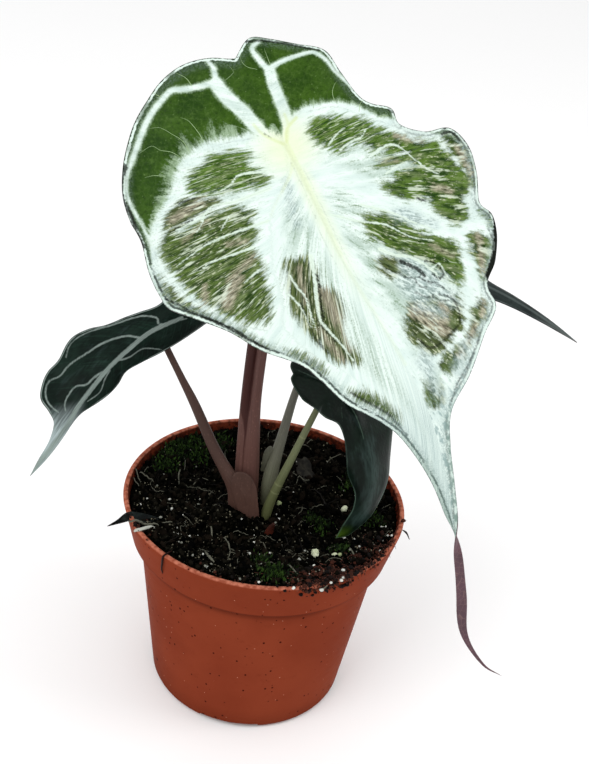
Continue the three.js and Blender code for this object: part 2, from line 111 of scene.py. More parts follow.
def insideLoop(spots, loop):
    inside = np.zeros(len(spots), bool)
    x, y = spots[:, 0], spots[:, 1]
    for (ax, ay), (bx, by) in zip(loop, np.roll(loop, -1, axis=0)):
        crosses = (ay > y) != (by > y)
        rise = (by - ay) if abs(by - ay) > 1e-9 else 1e-9
        inside ^= crosses & (x < (bx - ax) * (y - ay) / rise + ax)
    return inside


def addPiece(name, points, faces, materials, fields=None, which=None, smoothShade=True):
    # points in millimetres; fields are numbers or triples kept on each point
    mesh = bpy.data.meshes.new(name)
    mesh.from_pydata((np.asarray(points) * mm).tolist(), [], faces)
    for key, values in (fields or {}).items():
        values = np.asarray(values, float)
        kind, slot = ("FLOAT", "value") if values.ndim == 1 else ("FLOAT_VECTOR", "vector")
        mesh.attributes.new(key, kind, "POINT").data.foreach_set(slot, values.ravel())
    for material in materials:
        mesh.materials.append(material)
    if which is not None:
        mesh.polygons.foreach_set("material_index", which)
    mesh.polygons.foreach_set("use_smooth", [smoothShade] * len(mesh.polygons))
    mesh.update()
    thing = bpy.data.objects.new(name, mesh)
    scene.collection.objects.link(thing)
    return thing


def joined(parts):
    # several (points, faces, fields) as one
    points, faces, fields = [], [], {}
    start = 0
    for somePoints, someFaces, someFields in parts:
        points.extend(np.asarray(somePoints).tolist())
        faces.extend([tuple(i + start for i in face) for face in someFaces])
        for key, values in someFields.items():
            fields.setdefault(key, []).extend(np.asarray(values).tolist())
        start += len(somePoints)
    return points, faces, fields


def shade(colour, factor):
    # a colour made darker or lighter
    return (*(min(1, factor * c) for c in paint(*colour)[:3]), 1.0)


# Materials are built with these two, one node at a time

class Value:
    # what a shader node gives out
    def __init__(self, look, socket):
        self.look, self.socket = look, socket

    def __add__(self, other):
        return self.look.math("ADD", self, other)

    def __sub__(self, other):
        return self.look.math("SUBTRACT", self, other)

    def __mul__(self, other):
        return self.look.math("MULTIPLY", self, other)

    def __abs__(self):
        return self.look.math("ABSOLUTE", self)

    def axis(self, number):
        return self.look.put("SeparateXYZ", self, out=number)

    def stretch(self, x, y, z=1.0):
        return self.look.put("VectorMath", self, (x, y, z), operation="MULTIPLY")

    def span(self, low, high, lowTo=0.0, highTo=1.0):
        return self.look.put("MapRange", self, low, high, lowTo, highTo, interpolation_type="SMOOTHSTEP")

    def mix(self, share, other):
        return self.look.blend(share, self, other)

    def grain(self, detail=3.0, rough=0.5, scale=1.0):
        named = {"Scale": scale, "Detail": detail, "Roughness": rough}
        return self.look.put("TexNoise", self, named=named)

    def cells(self, scale=1.0, feature="F1"):
        return self.look.put("TexVoronoi", self, named={"Scale": scale}, feature=feature)


class Finish:
    def __init__(self, name, **plain):
        self.material = bpy.data.materials.new(name)
        self.material.use_nodes = True
        self.tree = self.material.node_tree
        self.shader = self.tree.nodes["Principled BSDF"]
        for key, value in plain.items():
            self.shader.inputs[key.replace("_", " ")].default_value = value

    def put(self, kind, *values, out=0, named=None, **settings):
        # a node with its settings, its first inputs in order and others by name or number
        node = self.tree.nodes.new("ShaderNode" + kind)
        for key, value in settings.items():
            setattr(node, key, value)
        for key, value in [*enumerate(values), *(named or {}).items()]:
            self.feed(node.inputs[key], value)
        return Value(self, node.outputs[out])

    def feed(self, socket, value):
        # a colour is given as three numbers, as seen on a screen
        if isinstance(value, Value):
            self.tree.links.new(value.socket, socket)
        elif socket.type == "RGBA" and len(value) == 3:
            socket.default_value = paint(*value)
        else:
            socket.default_value = value

    def math(self, operation, *values):
        return self.put("Math", *values, operation=operation)

    def blend(self, share, first, second):
        return self.put("Mix", out=2, named={0: share, 6: first, 7: second}, data_type="RGBA")

    def kept(self, name, out="Fac"):
        # what a mesh keeps on its points
        return self.put("Attribute", out=out, attribute_name=name)

    def place(self, perMillimetre=1.0):
        here = self.put("TexCoord", out="Object")
        return self.put("VectorMath", here, named={"Scale": perMillimetre / mm}, operation="SCALE")

    def bump(self, height, strength, distance):
        named = {"Strength": strength, "Distance": distance * mm, "Height": height}
        self.feed(self.shader.inputs["Normal"], self.put("Bump", named=named))

    def colour(self, value):
        self.feed(self.shader.inputs["Base Color"], value)

    def roughness(self, value):
        self.feed(self.shader.inputs["Roughness"], value)


# Camera, light and floor

view = {
    "from": (0, -413.8, 400.5),
    "right": (0.9924, 0.0504, 0.1092),
    "forward": (0.013, 0.8575, -0.5144),
    "focalPixels": 1200,
    "imageHeight": 764,
    "sensor": 36,
}


def addCamera():
    data = bpy.data.cameras.new("camera")
    data.sensor_width = view["sensor"]
    data.lens = view["focalPixels"] / view["imageHeight"] * view["sensor"]
    data.clip_start = 0.01
    camera = bpy.data.objects.new("camera", data)
    back = -Vector(view["forward"]).normalized()
    right = Vector(view["right"])
    right = (right - back * right.dot(back)).normalized()
    turn = Matrix((right, back.cross(right), back)).transposed()
    camera.matrix_world = Matrix.Translation(Vector(view["from"]) * mm) @ turn.to_4x4()
    scene.collection.objects.link(camera)
    scene.camera = camera


studio = {
    "sky": 0.9,
    "lamps": [
        {"name": "key", "at": (-0.55, -0.7, 1.15), "size": 0.7, "power": 6.5},
        {"name": "window", "at": (0.9, -0.1, 0.9), "size": 0.5, "power": 3.0},
    ],
    "aim": (0, -0.03, 0.16),
    "floorSize": 6,
}


def addStudio():
    world = bpy.data.worlds.new("sky")
    world.use_nodes = True
    sky = world.node_tree.nodes["Background"]
    sky.inputs["Color"].default_value = (1, 1, 1, 1)
    sky.inputs["Strength"].default_value = studio["sky"]
    scene.world = world
    for lamp in studio["lamps"]:
        data = bpy.data.lights.new(lamp["name"], "AREA")
        data.size = lamp["size"]
        data.energy = lamp["power"]
        thing = bpy.data.objects.new(lamp["name"], data)
        thing.location = lamp["at"]
        way = Vector(studio["aim"]) - Vector(lamp["at"])
        thing.rotation_euler = way.to_track_quat("-Z", "Y").to_euler()
        scene.collection.objects.link(thing)
    half = studio["floorSize"] / 2
    mesh = bpy.data.meshes.new("floor")
    mesh.from_pydata([(-half, -half, 0), (half, -half, 0), (half, half, 0), (-half, half, 0)],
                     [], [(0, 1, 2, 3)])
    floorFinish = Finish("pale floor", Roughness=0.9, Specular_IOR_Level=0.1)
    tone = floorFinish.place(0.002).grain(2.0)
    floorFinish.colour(floorFinish.blend(tone, (250, 250, 250), (254, 254, 254)))
    mesh.materials.append(floorFinish.material)
    floor = bpy.data.objects.new("floor", mesh)
    scene.collection.objects.link(floor)
    scene.view_settings.view_transform = "Standard"
    scene.view_settings.look = "None"


# The blades' shapes: each midrib as points in space, and stations down the flattened blade.
# The hub is the midrib's point that the stalk meets, and rows is (fine rows, stations that have them,
# coarse rows).

leafSheet = {"hub": 2, "thickness": 0.5, "rimThickness": 0.34}
bladeRound = 2  # how softly the two halves meet at the fold
lengthSteps = 600

mainBlade = {
    "midrib": [(-33, 6, 291), (-22, -8, 274), (-7, -20, 257.5), (6, -31, 241), (20, -43, 223),
               (37, -55, 205), (50, -64, 189), (59, -70, 171), (68, -75, 144), (74, -79, 121),
               (78, -82, 104), (87, -84, 92), (95, -85, 88)],
    **leafSheet,
    "facing": (0.05, -0.75, 0.66),
    "tailFacing": (0.1, -0.9, 0.4),
    "tailStart": 8,
    "fold": 0,
    "arch": 0.0022,
    "twist": (136, 164, 180),
    "wave": {"height": 1.5, "perStation": 1.55, "left": 0.4, "right": 2.1, "from": 2, "to": 21},
    # middle, left along, left across, right along, right across
    "stations": [
        (-36, -35, -2, -35, -2), (-31, -38, -10, -41, 5), (-27, -38.5, -19, -39, 12),
        (-22, -36, -28, -34, 21), (-17, -31, -36, -27, 29), (-11, -26, -44, -14, 31),
        (-5, -20, -52, -3, 33), (2, -13, -57, 3, 40), (9, -3, -59, 9, 40),
        (17, 8, -59, 14, 48), (25, 19, -61, 16, 58), (32, 28, -61, 24, 61),
        (38, 34, -60, 34, 59), (45, 40, -54, 46, 55.5), (52, 48, -45, 55, 58),
        (59, 56, -39, 63, 55), (66, 66, -31, 71, 48), (74, 75, -28, 76, 41),
        (83, 86, -24.5, 84, 40), (92, 96, -18.5, 90, 30), (101, 105, -13.5, 98, 19),
        (110, 114, -10, 106, 8), (120, 124, -6.7, 117, 4), (132, 134, -4.2, 131, 2.6),
        (149, 149, -1.9, 149, 1.7), (166, 166, -1.9, 166, 1.5), (182, 182, -2, 182, 1.8),
        (197, 197, -0.9, 197, 0.9), (207, 207, -0.45, 207, 0.45), (215.5, 215.5, 0, 215.5, 0)],
    "rows": (14, 22, 7),
    "columns": 66,
}

leftBlade = {
    "midrib": [(-36, 20, 175), (-42, 15, 171), (-49, 9, 166), (-57, 1, 161), (-66, -9, 154),
               (-73, -19, 146), (-79, -26, 138), (-85, -32, 128), (-92, -36, 117)],
    **leafSheet,
    "facing": (0.34, -0.81, 0.48),
    "fold": 35,
    "arch": 0.004,
    "wave": {"height": 1.0, "perStation": 1.3, "left": 1.2, "right": 0.2, "from": 2, "to": 14},
    "stations": [
        (-12, -12, 0, -12, 0), (-6.5, -17.5, -5, -17.5, 5), (-4, -20, -9, -22, 10),
        (-1, -14, -10, -20, 14), (3, -5, -8.4, -9, 14), (8, 3, -11, 1, 12.3),
        (13, 9, -13.1, 9, 10.6), (18, 16, -15.6, 16, 8.6), (24, 21.5, -19.3, 23, 7),
        (29, 28, -21.7, 29, 8.6), (35, 36, -20, 35, 8), (41, 43, -20.3, 40.5, 6.2),
        (46, 49, -18.7, 45, 4.2), (50.5, 54, -15.5, 49, 2.5), (54, 56, -9.5, 53, 1.9),
        (59, 58.5, -5, 59, 2), (66, 65, -2.6, 65, 1.8), (74, 73.5, -1.6, 73.5, 1.2),
        (81.5, 81.5, 0, 81.5, 0)],
    "rows": (16, 18, 16),
    "columns": 40,
}

frontBlade = {
    "midrib": [(2.5, 9, 151), (11.6, 6, 151.3), (22.9, 1, 150.6), (31.3, -7, 145.8),
               (37.2, -14, 135.4), (40.8, -18, 121.5), (39.9, -20, 107.7), (35.4, -20, 97),
               (31, -19, 91)],
    **leafSheet,
    "facing": (0.25, -0.8, 0.55),
    "fold": 30,
    "arch": 0.004,
    "wave": {"height": 0.9, "perStation": 1.5, "left": 0.6, "right": 1.9, "from": 3, "to": 13},
    "stations": [
        (-19, -19, 0, -19, 0), (-13, -19.5, -2.5, -21.5, 4), (-10, -17.5, -6, -21, 9.5),
        (-7, -14, -9, -17, 14), (-3, -10, -11, -10, 16.7), (3, -3, -12.3, -1, 18.6),
        (9, 6, -11.4, 6, 19.6), (15, 14, -8, 13, 20), (21, 21, -7.8, 21, 19.3),
        (28, 28, -8.8, 29, 17), (35, 36, -9.2, 37, 14.3), (42, 42.5, -8, 43, 12.3),
        (49, 49, -5.3, 50, 9.4), (56, 56, -4.1, 57, 6.9), (63, 63, -3.6, 63, 4.4),
        (69, 69, -2.6, 69, 2.9), (74.8, 74.8, 0, 74.8, 0)],
    "rows": (12, 16, 12),
    "columns": 28,
}

rearBlade = {
    "midrib": [(20, 33, 205), (31, 34.5, 203), (42, 36, 199), (54, 37, 195), (66, 37.5, 191),
               (78, 38, 187.5), (91, 38, 182.8), (107, 37, 175.5), (123.4, 35, 166.9)],
    **leafSheet,
    "facing": (0.25, -0.35, 0.9),
    "fold": 22,
    "arch": 0.004,
    "wave": {"height": 1.0, "perStation": 1.4, "left": 0.9, "right": 2.4, "from": 3, "to": 11},
    "stations": [(middle, along, -across, along, across) for middle, along, across in (
        (-13, -13, 0), (-7, -21, 5), (-4, -22, 10.5), (0, -15, 15.5), (5, -6, 17.5), (10, 4, 18.5),
        (16, 13, 18), (23, 22, 15.5), (30, 30, 12), (38, 38, 8), (46, 46, 5), (55, 55, 3.8),
        (66, 66, 2.8), (77, 77, 1.6), (87.5, 87.5, 0))],
    "rows": (12, 14, 12),
    "columns": 28,
}


class BladeForm:
    # a frame carried down the midrib, bent by fold, arch, twist and waves
    def __init__(self, shape):
        self.shape = shape
        last = len(shape["midrib"]) - 1
        start = shape.get("tailStart", last + 1)
        self.facings = [shape["tailFacing"] if i >= start else shape["facing"]
                        for i in range(last + 1)]
        path = curveAt(shape["midrib"], np.linspace(0, 1, lengthSteps + 1))
        steps = np.linalg.norm(np.diff(path, axis=0), axis=1)
        self.lengths = np.concatenate([[0], np.cumsum(steps)])
        self.hubLength = self.lengths[round(lengthSteps * shape["hub"] / last)]

    def frameAt(self, along):
        length = np.asarray(along, float) + self.hubLength
        held = np.clip(length, 0, self.lengths[-1])
        u = np.interp(held, self.lengths, np.linspace(0, 1, lengthSteps + 1))
        direction = tangentAt(self.shape["midrib"], u)
        centre = curveAt(self.shape["midrib"], u) + direction * (length - held)[..., None]
        side = unit(np.cross(curveAt(self.facings, u), direction))
        face = np.cross(direction, side)
        if "twist" in self.shape:
            start, end, turn = self.shape["twist"]
            roll = (math.radians(turn) * smooth((along - start) / (end - start)))[..., None]
            side, face = (np.cos(roll) * side + np.sin(roll) * face,
                          np.cos(roll) * face - np.sin(roll) * side)
        return centre, side, face

    def pointAt(self, along, across, edge, station):
        wave = self.shape["wave"]
        centre, side, face = self.frameAt(along)
        angle = math.radians(self.shape["fold"])
        phase = np.where(across < 0, wave["left"], wave["right"])
        fade = smooth((station - wave["from"]) / 2) * smooth((wave["to"] - station) / 3)
        ripple = wave["height"] * fade * edge ** 3 * np.sin(station * wave["perStation"] + phase)
        drop = math.sin(angle) * (np.hypot(across, bladeRound) - bladeRound)
        lift = ripple - drop - self.shape["arch"] * across ** 2
        return (centre + side * (across * math.cos(angle))[..., None] + face * lift[..., None])


def bladeColumns(count):
    # shares of the way to the margin: closer together at the midrib and at the margin
    even = np.linspace(0, 1, count + 1)
    shares = 0.5 * even + 0.5 * (1 - (1 - even) ** 1.5)
    shares = 0.62 * shares + 0.38 * even ** 1.7
    return np.concatenate([-shares[:0:-1], shares])


def bladeGrid(shape):
    # rows down the blade, columns across it, with the flattened place of each point
    form = BladeForm(shape)
    stations = np.asarray(shape["stations"], float)
    fine, until, coarse = shape["rows"]
    last = len(stations) - 1
    steps = [np.linspace(k, k + 1, fine if k < until else coarse, endpoint=False)
             for k in range(last)]
    station = np.concatenate(steps + [[last]])
    u = station / last
    left = curveAt(stations[:, [1, 2, 0]], u)
    right = curveAt(stations[:, [3, 4, 0]], u)
    spots = bladeColumns(shape["columns"])
    rows, columns = len(station), len(spots)
    edge = np.abs(spots)[None, :].repeat(rows, 0)
    marginAlong = np.where(spots < 0, left[:, :1], right[:, :1])
    marginAcross = np.where(spots < 0, left[:, 1:2], right[:, 1:2])
    middle = left[:, 2:3].repeat(columns, 1)
    along = middle + (marginAlong - middle) * edge
    across = marginAcross * edge
    for i in (0, rows - 1):
        along[i], across[i], edge[i] = left[i, 0], left[i, 1], 1
    stationGrid = station[:, None].repeat(columns, 1)
    points = form.pointAt(*(grid.ravel() for grid in (along, across, edge, stationGrid)))
    rim = np.concatenate([left[:, :2], right[::-1, :2]])
    return {"form": form, "rows": rows, "columns": columns, "rim": rim,
            "points": points.reshape(rows, columns, 3),
            "plan": np.stack([along, across], -1), "edge": edge}


def gridNormals(points):
    down = np.gradient(points, axis=0)
    over = np.gradient(points, axis=1)
    normals = unit(np.cross(down, over))
    normals[0] = normals[1]
    normals[-1] = normals[-2]
    return normals


def makeBlade(name, shape, grid, bulge, topRelief, underRelief, fields, materials):
    # one closed mesh: upper face, under face and a thin rim
    rows, columns = grid["rows"], grid["columns"]
    normals = gridNormals(grid["points"])
    rimward = smooth((1 - grid["edge"]) / 0.1)
    half = (shape["rimThickness"] + (shape["thickness"] - shape["rimThickness"]) * rimward) / 2
    middle = grid["points"] + normals * (bulge * rimward)[..., None]
    upper = middle + normals * (half + topRelief * rimward)[..., None]
    under = middle - normals * (half + underRelief * rimward)[..., None]
    count = (rows - 2) * columns + 2
    index = np.zeros((rows, columns), int)
    index[1:-1] = 1 + np.arange((rows - 2) * columns).reshape(rows - 2, columns)
    index[-1] = count - 1

    def compact(values):
        # the first and last rows close to one point each
        inner = values[1:-1].reshape(-1, *values.shape[2:])
        return np.concatenate([values[:1, 0], inner, values[-1:, 0]])

    a, b = index[1:-2, :-1], index[1:-2, 1:]
    c, d = index[2:-1, 1:], index[2:-1, :-1]
    quads = np.stack([a, d, c, b], -1).reshape(-1, 4)
    ends = [(0, int(index[1, j]), int(index[1, j + 1])) for j in range(columns - 1)]
    ends += [(int(index[-2, j]), count - 1, int(index[-2, j + 1])) for j in range(columns - 1)]
    faces = quads.tolist() + ends
    faces += [tuple(i + count for i in face[::-1]) for face in faces]
    upperCount = len(faces) // 2
    for j, step in ((0, 1), (columns - 1, -1)):
        way = index[:, j] if step > 0 else index[::-1, j]
        for p, q in zip(way[:-1].tolist(), way[1:].tolist()):
            faces.append((p, p + count, q + count, q))
    which = [0] * upperCount + [1] * (len(faces) - upperCount)
    both = {key: np.concatenate([compact(v)] * 2) for key, v in fields.items()}
    points = np.concatenate([compact(upper), compact(under)])
    piece = addPiece(name, points, faces, materials, both, which)
    grid["upper"] = upper
    grid["normals"] = normals
    return piece


def onBlade(grid):
    # gives back a function from flattened places to points and normals on the upper face
    plan, upper, normals = grid["plan"], grid["upper"], grid["normals"]
    rows, columns = grid["rows"], grid["columns"]
    flat = [Vector((s, t, 0)) for s, t in plan.reshape(-1, 2)]
    quads = [(i * columns + j, (i + 1) * columns + j, (i + 1) * columns + j + 1, i * columns + j + 1)
             for i in range(1, rows - 2) for j in range(columns - 1)]
    triangles = [t for a, b, c, d in quads for t in ((a, b, c), (a, c, d))]
    tree = BVHTree.FromPolygons(flat, triangles)
    space = upper.reshape(-1, 3)
    facing = normals.reshape(-1, 3)

    def find(place):
        spot, _, number, _ = tree.find_nearest(Vector((place[0], place[1], 0)))
        corners = triangles[number]
        there = barycentric_transform(spot, *(flat[i] for i in corners),
                                      *(Vector(space[i]) for i in corners))
        return np.array(there), facing[corners[0]]
    return find


# Geometry Nodes: one tree lays strands along paths, the other scatters small shapes

def newTree(name, sockets):
    tree = bpy.data.node_groups.new(name, "GeometryNodeTree")
    tree.interface.new_socket("Geometry", in_out="INPUT", socket_type="NodeSocketGeometry")
    for label, kind, value in sockets:
        socket = tree.interface.new_socket(label, in_out="INPUT", socket_type="NodeSocket" + kind)
        if value is not None:
            socket.default_value = value
    tree.interface.new_socket("Geometry", in_out="OUTPUT", socket_type="NodeSocketGeometry")
    return tree, tree.nodes.new("NodeGroupInput"), tree.nodes.new("NodeGroupOutput")


def addNode(tree, kind, links=None, **settings):
    node = tree.nodes.new(kind)
    for key, value in settings.items():
        setattr(node, key, value)
    for key, value in (links or {}).items():
        socket = node.inputs[key]
        if isinstance(value, bpy.types.NodeSocket):
            tree.links.new(value, socket)
        else:
            socket.default_value = value
    return node


def endTree(tree, given, result, last):
    real = addNode(tree, "GeometryNodeRealizeInstances", {0: last.outputs[0]})
    done = addNode(tree, "GeometryNodeSetMaterial",
                   {"Geometry": real.outputs[0], "Material": given.outputs["Material"]})
    tree.links.new(done.outputs[0], result.inputs[0])
    return tree


def strandTree():
    tree, given, result = newTree("strands along paths", [
        ("Material", "Material", None), ("Sides", "Int", 6), ("Thickness", "Float", 1.0)])
    curve = addNode(tree, "GeometryNodeMeshToCurve", {0: given.outputs["Geometry"]})
    width = addNode(tree, "GeometryNodeInputNamedAttribute", {"Name": "width"}, data_type="FLOAT")
    radius = addNode(tree, "ShaderNodeMath", {0: width.outputs[0], 1: given.outputs["Thickness"]},
                     operation="MULTIPLY")
    sized = addNode(tree, "GeometryNodeSetCurveRadius",
                    {"Curve": curve.outputs[0], "Radius": radius.outputs[0]})
    ring = addNode(tree, "GeometryNodeCurvePrimitiveCircle",
                   {"Resolution": given.outputs["Sides"], "Radius": 1.0})
    tube = addNode(tree, "GeometryNodeCurveToMesh",
                   {"Curve": sized.outputs[0], "Profile Curve": ring.outputs[0], "Fill Caps": True})
    if "Scale" in tube.inputs:
        tree.links.new(radius.outputs[0], tube.inputs["Scale"])
    rounded = addNode(tree, "GeometryNodeSetShadeSmooth", {0: tube.outputs[0]})
    return endTree(tree, given, result, rounded)


def scatterTree():
    tree, given, result = newTree("scattered grains", [
        ("Material", "Material", None), ("Grain", "Object", None), ("Density", "Float", 1000.0),
        ("Smallest", "Float", 0.001), ("Largest", "Float", 0.002), ("Lift", "Float", 0.0),
        ("Upright", "Float", 0.0), ("Seed", "Int", 1)])
    share = addNode(tree, "GeometryNodeInputNamedAttribute", {"Name": "cover"}, data_type="FLOAT")
    dense = addNode(tree, "ShaderNodeMath", {0: share.outputs[0], 1: given.outputs["Density"]},
                    operation="MULTIPLY")
    spread = addNode(tree, "GeometryNodeDistributePointsOnFaces",
                     {"Mesh": given.outputs["Geometry"], "Density": dense.outputs[0],
                      "Seed": given.outputs["Seed"]})
    raised = addNode(tree, "ShaderNodeVectorMath",
                     {0: spread.outputs["Normal"], "Scale": given.outputs["Lift"]}, operation="SCALE")
    placed = addNode(tree, "GeometryNodeSetPosition",
                     {"Geometry": spread.outputs["Points"], "Offset": raised.outputs[0]})
    tint = addNode(tree, "FunctionNodeRandomValue", {"Seed": given.outputs["Seed"]}, data_type="FLOAT")
    marked = addNode(tree, "GeometryNodeStoreNamedAttribute",
                     {"Geometry": placed.outputs[0], "Name": "tint", "Value": tint.outputs[1]},
                     data_type="FLOAT", domain="POINT")
    size = addNode(tree, "FunctionNodeRandomValue", data_type="FLOAT")
    tree.links.new(given.outputs["Smallest"], size.inputs[2])
    tree.links.new(given.outputs["Largest"], size.inputs[3])
    tumble = addNode(tree, "FunctionNodeRandomValue", {"Max": (6.283, 6.283, 6.283)},
                     data_type="FLOAT_VECTOR")
    lean = addNode(tree, "FunctionNodeRandomValue", {"Min": (-0.5, -0.5, 0.0), "Max": (0.5, 0.5, 6.283)},
                   data_type="FLOAT_VECTOR")
    turn = addNode(tree, "ShaderNodeMix", {0: given.outputs["Upright"]}, data_type="VECTOR")
    tree.links.new(tumble.outputs[0], turn.inputs[4])
    tree.links.new(lean.outputs[0], turn.inputs[5])
    grain = addNode(tree, "GeometryNodeObjectInfo", {"Object": given.outputs["Grain"]})
    scattered = addNode(tree, "GeometryNodeInstanceOnPoints",
                        {"Points": marked.outputs[0], "Instance": grain.outputs["Geometry"],
                         "Rotation": turn.outputs[1], "Scale": size.outputs[1]})
    return endTree(tree, given, result, scattered)


def modified(thing):
    # the mesh that a thing's modifiers give
    bpy.context.view_layer.update()
    evaluated = thing.evaluated_get(bpy.context.evaluated_depsgraph_get())
    return bpy.data.meshes.new_from_object(evaluated)


def grown(name, base, tree, values):
    # runs a tree on a base object and keeps the result as a plain mesh
    modifier = base.modifiers.new("tree", "NODES")
    modifier.node_group = tree
    sockets = {item.name: item.identifier for item in tree.interface.items_tree
               if item.item_type == "SOCKET" and item.in_out == "INPUT"}
    for label, value in values.items():
        modifier[sockets[label]] = value
    mesh = modified(base)
    mesh.name = name
    thing = bpy.data.objects.new(name, mesh)
    base.modifiers.remove(modifier)
    bpy.data.objects.remove(base)
    scene.collection.objects.link(thing)
    return thing


def strandBase(paths):
    # paths are (points, widths) in millimetres
    points, edges, widths = [], [], []
    for path, width in paths:
        start = len(points)
        points.extend(np.asarray(path).tolist())
        widths.extend(np.asarray(width).tolist())
        edges.extend((start + i, start + i + 1) for i in range(len(path) - 1))
    mesh = bpy.data.meshes.new("paths")
    mesh.from_pydata((np.asarray(points) * mm).tolist(), edges, [])
    mesh.attributes.new("width", "FLOAT", "POINT").data.foreach_set("value", np.asarray(widths) * mm)
    base = bpy.data.objects.new("paths", mesh)
    scene.collection.objects.link(base)
    return base


def grainShape(name, kind, flat, lump, seed):
    # a small lumpy shape a metre across, for the scatter tree to shrink
    shape = bmesh.new()
    if kind == "leaf":
        for x, y, z in ((0, 0, 0), (0.22, 0.1, 0.5), (0, 0.25, 1), (-0.22, 0.1, 0.5), (0, -0.08, 0.45)):
            shape.verts.new((x, y, z))
        shape.verts.ensure_lookup_table()
        v = shape.verts
        for a, b, c in ((0, 1, 4), (1, 2, 4), (2, 3, 4), (3, 0, 4), (0, 3, 1), (1, 3, 2)):
            shape.faces.new((v[a], v[b], v[c]))
    else:
        bmesh.ops.create_icosphere(shape, subdivisions=1, radius=0.5)
        for vert in shape.verts:
            rough = noise.noise(vert.co * 3 + Vector((seed * 7.1, 0, 0)))
            vert.co *= 1 + lump * 2 * rough
            vert.co.z *= flat
    mesh = bpy.data.meshes.new(name)
    shape.to_mesh(mesh)
    shape.free()
    mesh.polygons.foreach_set("use_smooth", [kind != "leaf"] * len(mesh.polygons))
    return bpy.data.objects.new(name, mesh)


# Pot

pot = {
    "height": 94.6, "rimRadius": 60, "rimWall": 2, "lipRound": 0.7,
    "shoulderHeight": 76.2, "shoulderRadius": 55.9, "shoulderRound": 0.8,
    "bodyTopRadius": 52.1, "baseRadius": 43.2, "baseRound": 3.4, "wall": 1.6, "floor": 4,
    "segments": 192,
    "holeCount": 8, "holeRadius": 3.5, "holeCircle": 31,
    "notchCount": 4, "notchStart": -96, "notchWidth": 26, "notchDepth": 2.6,
}


def insideOfPot():
    floorEdge = pot["baseRadius"] - pot["wall"]
    ledge = pot["shoulderHeight"] - pot["wall"]
    neck = pot["bodyTopRadius"] - pot["wall"]
    return [(floorEdge - 1, pot["floor"]), (floorEdge, pot["floor"] + 1), (neck, ledge),
            (neck + pot["shoulderRound"], ledge + pot["shoulderRound"]),
            (pot["shoulderRadius"] - pot["rimWall"], pot["shoulderHeight"] + pot["shoulderRound"]),
            (pot["rimRadius"] - pot["rimWall"], pot["height"] - pot["lipRound"] / 2)]


def arc(centreRadius, centreHeight, size, start, end, steps):
    angles = np.radians(np.linspace(start, end, steps))
    return [(centreRadius + size * math.cos(a), centreHeight + size * math.sin(a)) for a in angles]


def spun(profile, segments):
    # a closed solid turned about the pot's axis, its profile starting and ending on the axis
    angles = np.arange(segments) * 2 * math.pi / segments
    ring = np.stack([np.cos(angles), np.sin(angles)], -1)
    inner = profile[1:-1]
    points = [(0, 0, profile[0][1])]
    for radius, height in inner:
        points.extend([(radius * c, radius * s, height) for c, s in ring])
    points.append((0, 0, profile[-1][1]))
    return points, turnedFaces(len(inner), segments)


def turnedFaces(rings, segments):
    # the rings' points lie between two points on the axis
    faces = []
    for j in range(segments):
        k = (j + 1) % segments
        faces.append((0, 1 + k, 1 + j))
        for i in range(rings - 1):
            low, high = 1 + i * segments, 1 + (i + 1) * segments
            faces.append((low + j, low + k, high + k, high + j))
        top = 1 + (rings - 1) * segments
        faces.append((top + j, top + k, 1 + rings * segments))
    return faces


